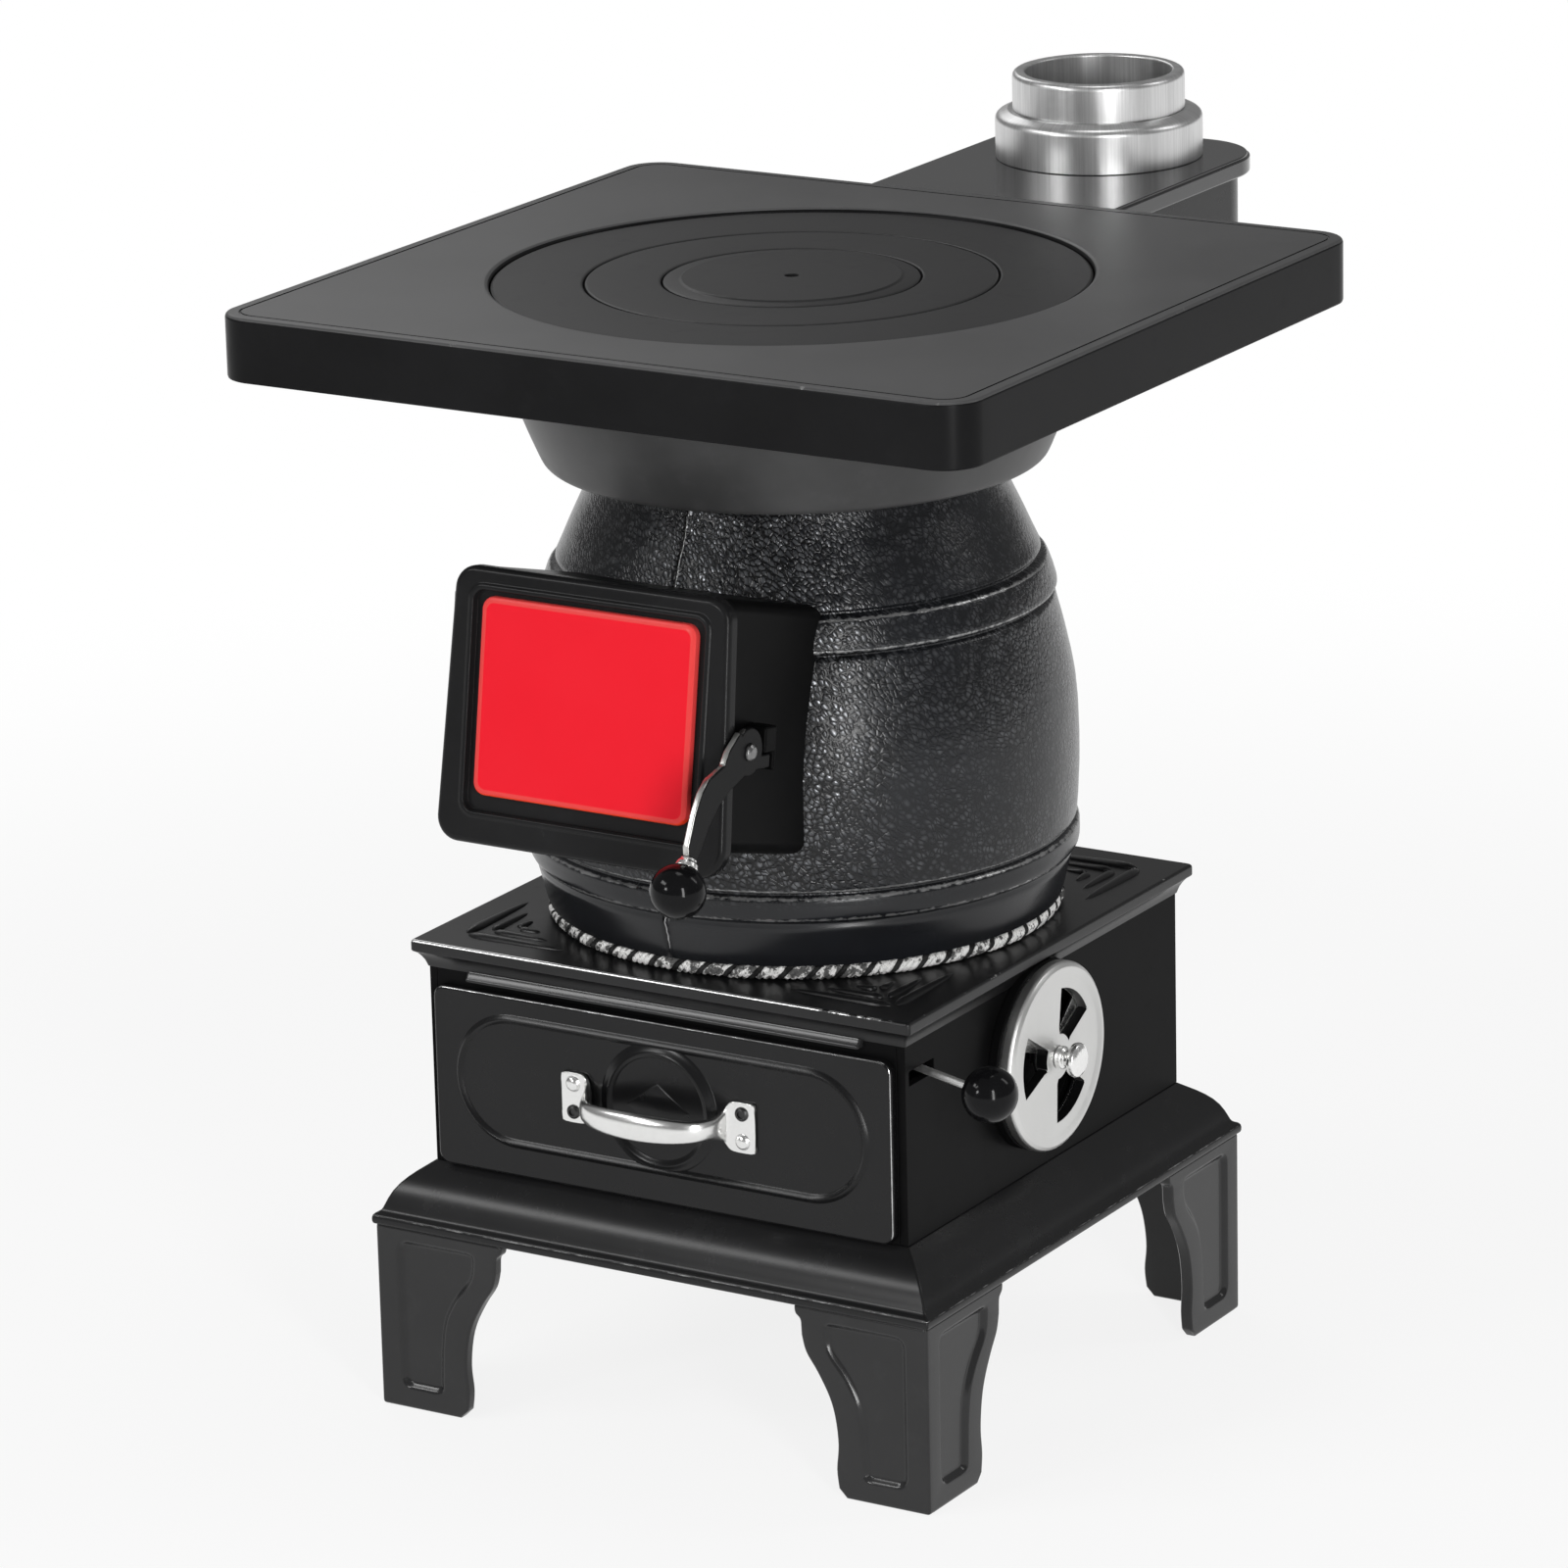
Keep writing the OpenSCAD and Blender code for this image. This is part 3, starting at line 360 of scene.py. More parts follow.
def weldedCopy(node, keep=None):  # keep: a plane (point, normal in m); only what lies beyond it stays
    source = frame["nodes"][node].data
    bm = bmesh.new()
    points = [bm.verts.new(vertex.co) for vertex in source.vertices]
    for polygon in source.polygons:
        bm.faces.new([points[index] for index in polygon.vertices])
    bmesh.ops.remove_doubles(bm, verts=bm.verts, dist=0.02 * mm)
    bmesh.ops.dissolve_degenerate(bm, edges=bm.edges, dist=0.01 * mm)
    if keep:
        cut = bmesh.ops.bisect_plane(bm, geom=bm.verts[:] + bm.edges[:] + bm.faces[:], plane_co=keep[0], plane_no=keep[1],
                                     clear_inner=True)["geom_cut"]
        bmesh.ops.holes_fill(bm, edges=[part for part in cut if isinstance(part, bmesh.types.BMEdge)], sides=0)
        for part in cut:
            if isinstance(part, bmesh.types.BMVert):
                part.co -= Vector(keep[1]) * 0.6 * mm  # sunk into what carries it
    bmesh.ops.dissolve_limit(bm, angle_limit=math.radians(0.5), verts=bm.verts, edges=bm.edges)
    return bm


def rounded(node, name, widths, segments=3, least=28, finish=None, keep=None):
    # widths: one radius in mm, or a function of an edge's middle and direction that gives it
    bm = weldedCopy(node, keep)
    layer = bm.edges.layers.float.new("bevel_weight_edge")
    chosen = {}
    for edge in bm.edges:
        if len(edge.link_faces) == 2 and edge.calc_face_angle(0) > math.radians(least):
            middle = (edge.verts[0].co + edge.verts[1].co) / 2
            along = (edge.verts[1].co - edge.verts[0].co).normalized()
            width = widths(middle / mm, along) if callable(widths) else widths
            if width > 0:
                chosen[edge] = width
    widest = max(chosen.values(), default=1)
    for edge, width in chosen.items():
        edge[layer] = width / widest
    mesh = bpy.data.meshes.new(name)
    bm.to_mesh(mesh)
    bm.free()
    piece = newObject(name, mesh, finish or slotOfNode[node])
    bevel = piece.modifiers.new("edges", "BEVEL")
    for key, value in {"limit_method": "WEIGHT", "offset_type": "OFFSET", "width": widest * mm, "segments": segments,
                       "use_clamp_overlap": False, "loop_slide": True}.items():
        setattr(bevel, key, value)
    bake(piece)
    weighted(piece)
    return piece if keep else seat(piece, bodyOfNode[node], slotOfNode[node], node)


def outwards(mesh):
    bm = bmesh.new()
    bm.from_mesh(mesh)
    bmesh.ops.recalc_face_normals(bm, faces=bm.faces)
    bm.to_mesh(mesh)
    bm.free()
    return mesh


def revolved(name, profile, centre=(0, 0, 0), turned=Matrix.Identity(3), segments=96, finish=None, closed=True):
    # profile: (radius, height) in mm round the Z axis, which turned then turns; a radius of 0 is a pole
    points, faces, rings = [], [], []
    for radius, height in profile:
        count = segments if radius > 0.001 else 1
        rings.append(range(len(points), len(points) + count))
        for step in range(count):
            turn = 2 * math.pi * step / segments
            points.append(Vector((radius * math.cos(turn), radius * math.sin(turn), height)))
    pairs = list(zip(rings, rings[1:]))
    if closed and len(rings[0]) > 1 and len(rings[-1]) > 1:
        pairs.append((rings[-1], rings[0]))
    for low, high in pairs:
        for step in range(segments):
            after = (step + 1) % segments
            if len(low) > 1 and len(high) > 1:
                faces.append((low[step], low[after], high[after], high[step]))
            elif len(high) > 1:
                faces.append((low[0], high[after], high[step]))
            elif len(low) > 1:
                faces.append((low[step], low[after], high[0]))
    vertices = [(turned @ point) * mm + Vector(centre) * mm for point in points]
    return newObject(name, outwards(meshOf(name, vertices, faces)), finish)


def quads(rows, count, first=0, closed=False):  # faces between rings of as many points
    faces = []
    for low in range(rows if closed else rows - 1):
        here, above = first + low * count, first + (low + 1) % rows * count
        for k in range(count):
            after = (k + 1) % count
            faces.append((here + k, here + after, above + after, above + k))
    return faces


def pointValues(mesh, name, values):
    mesh.attributes.new(name, "FLOAT", "POINT").data.foreach_set("value", values)


def ringed(name, rings, finish=None, closed=True, bright=(), wearGlint=1.0):
    # rings of as many points each, in mm, joined by quads; bright rings get worn edges that also serve as painted
    # highlights
    rows, count = len(rings), len(rings[0])
    faces = quads(rows, count, closed=closed)
    if not closed:
        faces += [tuple(reversed(range(count))), tuple(range((rows - 1) * count, rows * count))]
    mesh = outwards(meshOf(name, [Vector(point) * mm for ring in rings for point in ring], faces))
    if bright:
        pointValues(mesh, "wear_and_glint", [wearGlint if row in bright else 0.0 for row in range(rows) for k in range(count)])
    return newObject(name, mesh, finish)

def joined(name, pieces):  # several shells as one object, slots and worn edges with their painted highlights kept
    materials, values, marks = [], [], []
    bm = bmesh.new()
    for piece in pieces:
        slots = []
        for material in piece.data.materials:
            if material not in materials:
                materials.append(material)
            slots.append(materials.index(material))
        wear_and_glint = piece.data.attributes.get("wear_and_glint")
        values += [item.value for item in wear_and_glint.data] if wear_and_glint else [0.0] * len(piece.data.vertices)
        marks += [slots[polygon.material_index] if slots else 0 for polygon in piece.data.polygons]
        if wear_and_glint:
            piece.data.attributes.remove(wear_and_glint)
        bm.from_mesh(piece.data)
        bpy.data.objects.remove(piece)
    mesh = bpy.data.meshes.new(name)
    bm.to_mesh(mesh)
    bm.free()
    whole = newObject(name, mesh)
    for material in materials:
        mesh.materials.append(material)
    mesh.polygons.foreach_set("material_index", marks)
    if any(values):
        pointValues(mesh, "wear_and_glint", values)
    return whole


def cutWith(piece, cutter, operation="DIFFERENCE"):
    modifier = piece.modifiers.new("cut", "BOOLEAN")
    modifier.operation, modifier.solver, modifier.object = operation, "EXACT", cutter
    bake(piece)
    bpy.data.objects.remove(cutter)
    return piece


corners = ((1, 1, 0), (-1, 1, 90), (-1, -1, 180), (1, -1, 270))  # sides across and along, first bearing


def arc(radius, centre, start, end, steps=6):
    turns = [math.radians(start + (end - start) * step / steps) for step in range(steps + 1)]
    return [(centre[0] + radius * math.cos(turn), centre[1] + radius * math.sin(turn)) for turn in turns]


def rectRing(halfW, halfD, radius, corner=8, edge=1):  # rounded rectangle; edge: steps along each side
    arcs = [arc(radius, (cx * (halfW - radius), cy * (halfD - radius)), first, first + 90, corner)
            for cx, cy, first in corners]
    points = []
    for here, after in zip(arcs, arcs[1:] + arcs[:1]):
        (x, y), (endX, endY) = here[-1], after[0]
        points += here + [(x + (endX - x) * k / edge, y + (endY - y) * k / edge) for k in range(1, edge)]
    return points


def flatRing(points, z):  # plan points round the belly's axis, at a height
    return [(px, py + axisY, z) for px, py in points]


def circleLike(points, radius):  # circle points at the same bearings
    return [(radius * math.cos(math.atan2(py, px)), radius * math.sin(math.atan2(py, px))) for px, py in points]


def block(x0, x1, y0, y1, z0, z1):  # a cutter only
    points = [(x, y, z) for z in (z0, z1) for x, y in ((x0, y0), (x1, y0), (x1, y1), (x0, y1))]
    return ringed("cutter", [points[:4], points[4:]], closed=False)


def around(points):  # each point of a loop with the ones before and after it
    return zip(points[-1:] + points[:-1], points, points[1:] + points[:1])


def inset(points, distance):
    # outline moved inwards, corner by corner; points run anticlockwise
    moved = []
    for before, here, after in around(points):
        a, b = Vector(here) - Vector(before), Vector(after) - Vector(here)
        a, b = Vector((-a.y, a.x)).normalized(), Vector((-b.y, b.x)).normalized()
        bisector = (a + b).normalized()
        moved.append(tuple(Vector(here) + bisector * distance / max(0.35, bisector.dot(a))))
    return moved


def filleted(points, radius, steps=5, least=35):
    soft = []
    for before, here, after in around(points):
        a, b, c = Vector(before), Vector(here), Vector(after)
        turn = math.degrees((b - a).angle(c - b))
        if turn < least:
            soft.append(here)
            continue
        start = b + (a - b).normalized() * min(radius, (a - b).length * 0.45)
        end = b + (c - b).normalized() * min(radius, (c - b).length * 0.45)
        for k in range(steps + 1):
            t = k / steps
            soft.append(tuple(start * (1 - t) ** 2 + b * 2 * t * (1 - t) + end * t ** 2))
    return soft


def curved(points, steps=4):  # smooth line through the points, ends kept
    line = []
    padded = [points[0]] + list(points) + [points[-1]]
    for a, b, c, d in zip(padded, padded[1:], padded[2:], padded[3:]):
        for t in (k / steps for k in range(steps)):
            line.append(tuple(
                0.5 * (2 * q + (r - o) * t + (2 * o - 5 * q + 4 * r - u) * t * t + (3 * q - o - 3 * r + u) * t ** 3)
                for o, q, r, u in zip(a, b, c, d)))
    return line + [points[-1]]


def lofted(name, sections, segments, finish):
    # sections: (centre, across vector, thick vector, power) in mm; a power over 2 squares the oval
    rings = []
    for centre, across, thick, power in sections:
        turns = [2 * math.pi * step / segments for step in range(segments)]
        bent = lambda part: math.copysign(abs(part) ** (2 / power), part)
        rings.append([centre + across * bent(math.cos(turn)) + thick * bent(math.sin(turn)) for turn in turns])
    return ringed(name, rings, finish, closed=False)


def newTree(name, inputs):  # a Geometry Nodes tree, its inputs' identifiers, and links to its inputs
    tree = bpy.data.node_groups.new(name, "GeometryNodeTree")
    sockets = {}
    tree.interface.new_socket("Geometry", in_out="OUTPUT", socket_type="NodeSocketGeometry")
    for label, kind in (("Geometry", "Geometry"), *inputs):
        sockets[label] = tree.interface.new_socket(label, in_out="INPUT", socket_type="NodeSocket" + kind).identifier
    graph = Graph(tree)
    entry = graph.node("NodeGroupInput").socket.node.outputs
    return tree, sockets, graph, [Link(graph, socket) for socket in entry[:len(inputs) + 1]]


def dressedCopies(graph, surface, values):  # copies on points, made real and given their finish
    copies = graph.node("GeometryNodeInstanceOnPoints", {}, values)
    solid = graph.node("GeometryNodeRealizeInstances", {}, {"Geometry": copies})
    dressed = graph.node("GeometryNodeSetMaterial", {}, {"Geometry": solid, "Material": surface})
    graph.node("NodeGroupOutput", {}, {0: dressed})


def grown(piece, tree, sockets, values):  # the tree's result becomes the piece's own mesh
    modifier = piece.modifiers.new("copies", "NODES")
    modifier.node_group = tree
    for label, value in values.items():
        modifier[sockets[label]] = value
    return bake(piece)


def spreadTree():  # copies of a template on the points of a mesh, each turned by its own attribute
    tree, sockets, graph, (points, template, size, surface) = newTree(
        "spreadOnPoints", (("Template", "Object"), ("Size", "Float"), ("Finish", "Material")))
    shape = graph.node("GeometryNodeObjectInfo", {}, {"Object": template}, "Geometry")
    turn, stretch = (graph.node("GeometryNodeInputNamedAttribute", {"data_type": "FLOAT_VECTOR"}, {"Name": name})
                     for name in ("turn", "stretch"))
    scale = graph.node("ShaderNodeVectorMath", {"operation": "SCALE"}, {0: stretch, "Scale": size})
    dressedCopies(graph, surface, {"Points": points, "Instance": shape, "Rotation": turn, "Scale": scale})
    return tree, sockets


spread, spreadSockets = spreadTree()


def spreadOn(name, template, places, finish):  # places: (spot in mm, turn, and stretch if it isn't 1)
    mesh = meshOf(name, [Vector(spot[0]) * mm for spot in places], [])
    stretches = [spot[2] if len(spot) > 2 else (1, 1, 1) for spot in places]
    for label, values in (("turn", [spot[1] for spot in places]), ("stretch", stretches)):
        layer = mesh.attributes.new(label, "FLOAT_VECTOR", "POINT")
        layer.data.foreach_set("vector", [part for value in values for part in value])
    piece = grown(newObject(name, mesh), spread, spreadSockets,
                  {"Template": template, "Size": 1.0, "Finish": finishes[finish]})
    bpy.data.objects.remove(template)
    smoothShade(piece.data, 30)
    return piece


# Places shared by several pieces, in mm
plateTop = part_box("belly")[0].z / mm
hobLow, hobTop = (corner.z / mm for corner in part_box("cooktop"))
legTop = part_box("leg_front_left")[1].z / mm
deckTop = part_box("base_skirt")[1].z / mm
doorY, doorZ, doorTurn = -220.5 + axisY, plateTop + 162, Matrix.Rotation(math.radians(-9), 3, "X")
sides = (("front_left", -1, -1), ("front_right", 1, -1), ("rear_left", -1, 1), ("rear_right", 1, 1))


def onDoor(x, y, z):  # across, into the stove, up the face
    return doorTurn @ Vector((x, y, z)) + Vector((0, doorY, doorZ))


foot = {"half": 177, "thick": 7, "edge": 1.6, "recess": 2.8, "slope": 3.5, "pad": 19.25, "padDepth": 6, "padCorner": 3,
        "mitre": 3}
footRise = (legTop - 17) / 90
footCurve = curved([(57, 5), (58.2, 16), (57, 30), (58.5, 45), (62, 57), (69, 70), (76, 80.5), (78.6, 90)])
footOutline = [(0, 0), (52, 0)] + [(u, v * footRise) for u, v in footCurve]
footOutline += [(79, legTop - 8), (82.6, legTop - 5.5), (83, legTop), (0, legTop)]
panelCurve = curved([(39, 14.5), (39.6, 29), (40.5, 43), (43.5, 58), (50.5, 71), (60.5, 84), (62.5, legTop - 10)])
footPanel = [(16, 14.5)] + [(u, v * footRise if v < 90 else v) for u, v in panelCurve] + [(16, legTop - 10)]


def flange(name, outline, panel, place):
    # plate with rounded rim and a soft-edged recess; place turns (along, up, depth) into space
    rim, well = filleted(outline, 2.2, 4, 50), filleted(panel, 5, 6, 30)
    edge, thick, slope, deep = (foot[key] for key in ("edge", "thick", "slope", "recess"))
    fronts = [(inset(rim, edge * inward), edge * depth) for inward, depth in ((1, 0), (0.45, 0.16), (0.12, 0.5))]
    fronts += [(rim, edge), (rim, thick - 0.8), (inset(rim, 0.8), thick)]
    wells = [(inset(well, -slope * out), deep * depth) for out, depth in ((1, 0), (0.72, 0.08), (0.4, 0.4), (0.1, 0.82))]
    wells += [(inset(well, 0.6), deep * 0.98), (inset(well, 1.6), deep)]
    n, m, base = len(rim), len(well), len(rim) * len(fronts)
    flat = lambda ring: [Vector((u, v, 0)) for u, v in ring]
    faces = quads(len(fronts), n) + quads(len(wells), m, base)
    for ring, first in ((fronts[-1][0], base - n), (wells[-1][0], base + (len(wells) - 1) * m)):
        faces += [tuple(first + k for k in triangle) for triangle in tessellate_polygon([flat(ring)])]
    for triangle in tessellate_polygon([flat(fronts[0][0]), flat(wells[0][0])]):
        faces.append(tuple(k if k < n else base + k - n for k in triangle))
    points = [Vector(place(u, v, depth)) * mm for ring, depth in fronts + wells for u, v in ring]
    # the feet's lighter iron, painted light
    return newObject(name, outwards(meshOf(name, points, faces)), "foot_lit_satin")


def footPiece(side, sx, sy):
    half, low = foot["half"], legTop - foot["padDepth"]
    front = flange("front", footOutline, footPanel, lambda u, v, d: (sx * (half - u), sy * (half - d) + axisY, v))
    clipped = [(max(u, foot["mitre"]), v) for u, v in footOutline]
    flank = flange("flank", clipped, footPanel, lambda u, v, d: (sx * (half - d), sy * (half - u) + axisY, v))
    middle = half - foot["thick"] - foot["pad"] + 0.5
    rings = []
    for inward, z in ((1, low), (0, low + 1), (0, legTop - 0.3), (0.3, legTop)):
        plan = rectRing(foot["pad"] - inward, foot["pad"] - inward, foot["padCorner"] - inward, 4)
        rings.append([(px + sx * middle, py + sy * middle + axisY, z) for px, py in plan])
    pad = ringed("pad", rings, "foot_lit_satin", closed=False)
    piece = weighted(joined("foot_" + side, [cutWith(front, flank, "UNION"), pad]), 40)
    seat(piece, "base", "cast_satin", "leg_" + side)


for side in sides:
    footPiece(*side)
print("feet made")

bolt = {"head": 7.5, "tall": 5.5, "shank": 4.0, "end": 29.5, "at": 150, "below": 11.5}
head, tall, shank, end = (bolt[key] for key in ("head", "tall", "shank", "end"))
boltParts = [revolved("head", [(0, 0), (head - 1.2, 0), (head, 1.0), (head, tall), (shank, tall), (0, tall)], segments=6),
             revolved("shank", [(0, 5), (shank, tall), (shank, end - 0.6), (shank - 0.6, end), (0, end)], segments=24)]
boltPlaces = [((sx * bolt["at"], sy * bolt["at"] + axisY, legTop - bolt["below"]), (0, 0, 0.3 * sx + 0.2 * sy))
              for sx in (-1, 1) for sy in (-1, 1)]
footBolts = spreadOn("footBolts", joined("boltTemplate", boltParts), boltPlaces, "zinc_steel")
seat(footBolts, "base", "zinc_steel", "leg_bolts")


skirt = {"corner": 1.2, "boss": 10, "bossAt": 150, "bossHigh": 24, "bore": 4.1}
skirtOut = [(178.0, 0), (178.4, 0.4), (178.7, 1.4), (178.75, 3.0), (178.4, 4.6), (177.4, 5.7), (176.0, 6.3), (174.9, 7.1),
            (174.1, 8.4), (173.2, 10.6), (171.8, 14), (169.8, 17.8), (167.0, 21.6), (163.6, 25.0), (160.0, 27.9), (156.6, 30.3),
            (153.9, 32.2), (152.2, 33.4), (151.3, 34)]
skirtIn = [(146, 28), (153, 25), (161, 17), (167, 9), (171, 5), (171, 0.5), (171.5, 0)]


def skirtPiece():
    rings = [flatRing(rectRing(half, half, skirt["corner"], 3), legTop + up) for half, up in skirtIn + skirtOut]
    # the lip's ring gets worn edges that also lay a painted highlight line along it
    shells = [ringed("moulding", rings, "cast_satin", closed=False, bright=[len(skirtIn) + 4])]
    r, h, bore, at = (skirt[key] for key in ("boss", "bossHigh", "bore", "bossAt"))
    for sx, sy in ((-1, -1), (1, -1), (1, 1), (-1, 1)):
        tube = [(bore, 0), (r - 0.8, 0), (r, 0.8), (r, h), (bore, h)]
        shells.append(revolved("boss", tube, (sx * at, sy * at + axisY, legTop), segments=32, finish="cast_satin"))
    seat(weighted(joined("skirt", shells), 30), "base", "cast_satin", "base_skirt")


skirtPiece()
for wall in ("ash_wall_left", "ash_wall_right", "ash_wall_rear"):
    rounded(wall, wall.replace("ash_", "ash_box_"), 0.5, finish="box_black")
rounded("ash_front_frame", "ash_box_front", 0.5, finish="box_black")


def railPiece():  # rounded rail over the drawer
    low, high, out = plateTop - 20.6, plateTop - 15.2, axisY - 151.5
    section = [(0, low), (4.0, low), (4.8, low + 0.4), (5.0, low + 1.0), (4.5, low + 1.9), (3.2, low + 3.2), (2.4, high - 0.6),
               (2.0, high), (0, high)]
    ends = ((-126, 0.3), (-125.4, 0.8), (-124, 1.0), (124, 1.0), (125.4, 0.8), (126, 0.3))
    middle = (low + high) / 2
    rings = [[(x, out + 0.4 - depth * size, middle + (z - middle) * (0.6 + 0.4 * size)) for depth, z in section]
             for x, size in ends]
    # the rail takes the feet's lighter iron, painted light
    seat(weighted(ringed("ash_box_rail", rings, "foot_lit_satin", closed=False), 40), "base", "cast_satin")


railPiece()
topPlate = {"half": 157.0, "thick": 13, "hole": 110, "ledge": 100, "ledgeUp": 5, "airRadius": 53.6, "ribCorner": 158,
            "ribs": ((62, 21), (35, 31.5), (13, 42)), "ribWide": 3.5, "ribHigh": 2.3, "frontWearGlint": 1.45, "sideWearGlint": 0.8}
plateEdge = [(151.5, -3), (152.4, -3), (153.0, -1.2), (153.7, 0.8), (155.0, 3.1), (156.8, 5.2), (158.2, 6.1), (158.8, 6.5),
             (159.1, 7.2), (159.1, 11.2), (158.9, 12.1), (158.4, 12.7), (157.8, 13), (157.0, 13)]


def topPlatePiece():
    half, thick, hole, ledge, up, air = (topPlate[key] for key in ("half", "thick", "hole", "ledge", "ledgeUp", "airRadius"))
    base, plan = plateTop - thick, rectRing(half, half, 2.2, 5, 14)
    rings = [flatRing(rectRing(wide, wide, 1.5 if z < 5 else 2.2, 5, 14), base + z) for wide, z in plateEdge]
    rings += [flatRing(circleLike(plan, radius), base + z) for radius, z in ((hole, thick), (hole, up), (ledge, up), (ledge, 0))]
    rings.append(flatRing(rectRing(151.5, 151.5, 1.5, 5, 14), base))
    plate = ringed("ash_box_top", rings, "plate_satin", bright=[10, 11, 12])
    # worn edges that also stand as painted highlights; the front edge's is graded towards the left corner
    for vertex, item in zip(plate.data.vertices, plate.data.attributes["wear_and_glint"].data):
        if item.value and vertex.co.y / mm > axisY - 150:
            item.value = topPlate["sideWearGlint"]
        elif item.value:  # painted highlight, strongest on the front edge towards the left corner
            item.value = topPlate["frontWearGlint"] - 0.5 * max(0, vertex.co.x / mm + 20) / 170
    opening = [(0, 0), (air, 0), (air, 20), (0, 20)]
    turned = Matrix.Rotation(math.pi / 2, 3, "Y")
    cutWith(plate, revolved("clear", opening, (151.5, axisY - 11, deckTop + 67), turned, 128, closed=False))
    seat(weighted(plate, 30), "base", "cast_satin", "base_top_plate")


def ribPieces():
    sections = []
    for t in (0, 0.03, 0.09, 0.18, 0.35, 0.55, 0.75, 0.9, 1.0):
        swell = math.sqrt(min(1, t / 0.12)) * (1 - max(0, t - 0.12) / 0.88) ** 0.35 if 0 < t < 1 else 0.04
        across, thick = Vector((0, topPlate["ribWide"] * swell, 0)), Vector((0, 0, topPlate["ribHigh"] * swell))
        sections.append((Vector((t * 10, 0, 0)), across, thick, 2))
    template = lofted("ribTemplate", sections, 12, "plate_satin")
    places = []
    for sx, sy in ((-1, -1), (-1, 1), (1, -1), (1, 1)):
        for length, away in topPlate["ribs"]:
            corner, shrink = topPlate["ribCorner"] - away, 0.75 + 0.25 * length / 50
            stretch = (length / 10, shrink, shrink)
            places.append(((sx * (corner - 2), sy * corner + axisY, plateTop), (0, 0, math.pi if sx > 0 else 0), stretch))
            places.append(((sx * corner, sy * (corner - 2) + axisY, plateTop), (0, 0, -math.pi / 2 * sy), stretch))
    seat(spreadOn("ash_box_ribs", template, places, "plate_satin"), "base", "cast_satin")


topPlatePiece()
ribPieces()
print("ash box made")

rounded("ash_tray", "tray", 0.5, 2)
drawer = {"half": 146, "high": 104, "thick": 6, "corner": 7, "up": 0.8, "beadHalf": (130, 36), "beadWide": 2.7, "beadHigh": 1.9,
          "ring": 32, "holeAt": 54, "holeUp": 8, "hole": 2.1}
handleZ, faceY, faceTurn = deckTop + 54, axisY - 157.5, Matrix.Rotation(math.pi / 2, 3, "X")


def drawerPiece():
    half, tall, medal = drawer["half"], drawer["high"] / 2, deckTop + 56
    middle = deckTop + drawer["up"] + tall
    finish = "drawer_black"
    place = lambda u, v, out: (u, faceY - out, v)
    thick, rings = drawer["thick"], []
    for inward, out in ((0.6, -thick), (0, 0.6 - thick), (0, -1.9), (0.2, -1.15), (0.6, -0.6), (1.2, -0.18), (1.9, 0)):
        plan = rectRing(half - inward, tall - inward, drawer["corner"] - inward * 0.8, 8)
        rings.append([place(u, v + middle, out) for u, v in plan])
    plate = ringed("plate", rings, finish, closed=False)
    count, shown = len(rings[0]), 4  # the ring on the edge with wear and painted highlight
    wearGlint = [0.0] * len(plate.data.vertices)
    for k, (u, y, v) in enumerate(rings[shown]):  # painted highlight: the edges that face up and right are the brightest, the others get plain wear
        wearGlint[shown * count + k] = 1.5 if v - middle > 50.5 or u > 144.5 else 0.8
    pointValues(plate.data, "wear_and_glint", wearGlint)
    bore = [(0, -10), (drawer["hole"], -10), (drawer["hole"], 10), (0, 10)]
    spots = [(sx * drawer["holeAt"], faceY, handleZ + up * drawer["holeUp"]) for sx in (-1, 1) for up in (-1, 1)]
    cutWith(plate, joined("holes", [revolved("hole", bore, spot, faceTurn, 24, closed=False) for spot in spots]))
    (w, h), wide, high = drawer["beadHalf"], drawer["beadWide"], drawer["beadHigh"]
    rise = [(1.15, -0.3), (1, -0.02), (0.75, high * 0.22), (0.4, high * 0.72)]
    section = [(-wide * part, out) for part, out in rise] + [(0, high)] + [(wide * part, out) for part, out in reversed(rise)]
    stadium = arc(h, (w - h, 0), -90, 90, 28) + arc(h, (-(w - h), 0), 90, 270, 28)
    rings = []
    for before, (u, v), after in around(stadium):
        side = Vector((after[1] - before[1], -(after[0] - before[0]))).normalized()
        rings.append([place(u + side.x * across, v + medal + side.y * across, out) for across, out in section])
    r = drawer["ring"]
    profile = [(0, -0.3), (r + 5.5, -0.3), (r + 5.0, 0.3), (r + 3.6, 1.0), (r + 2.2, 1.5), (r + 1.2, 2.4), (r, 2.9), (r - 1.2, 2.4),
               (r - 2.2, 1.5), (r - 3.4, 1.3), (0, 1.5)]
    medallion = revolved("medallion", profile, (0, faceY, medal), faceTurn, 96, finish, closed=False)
    steps = ((1.06, 0.9), (1, 1.5), (0.93, 2.0), (0.55, 2.9), (0.08, 3.2))
    diamond = ((20, 0), (0, 14), (-20, 0), (0, -14))
    rows = [[place(u * share, v * share + medal, out) for u, v in diamond] for share, out in steps]
    lozenge = ringed("lozenge", rows, finish, closed=False)
    face = joined("drawer_face", [plate, ringed("bead", rings, finish), medallion, lozenge])
    seat(weighted(face, 38), "ash_drawer", "drawer_black", "drawer_front")


drawerPiece()

handle = {"tabOut": 62.0, "tabHalf": 14.5}


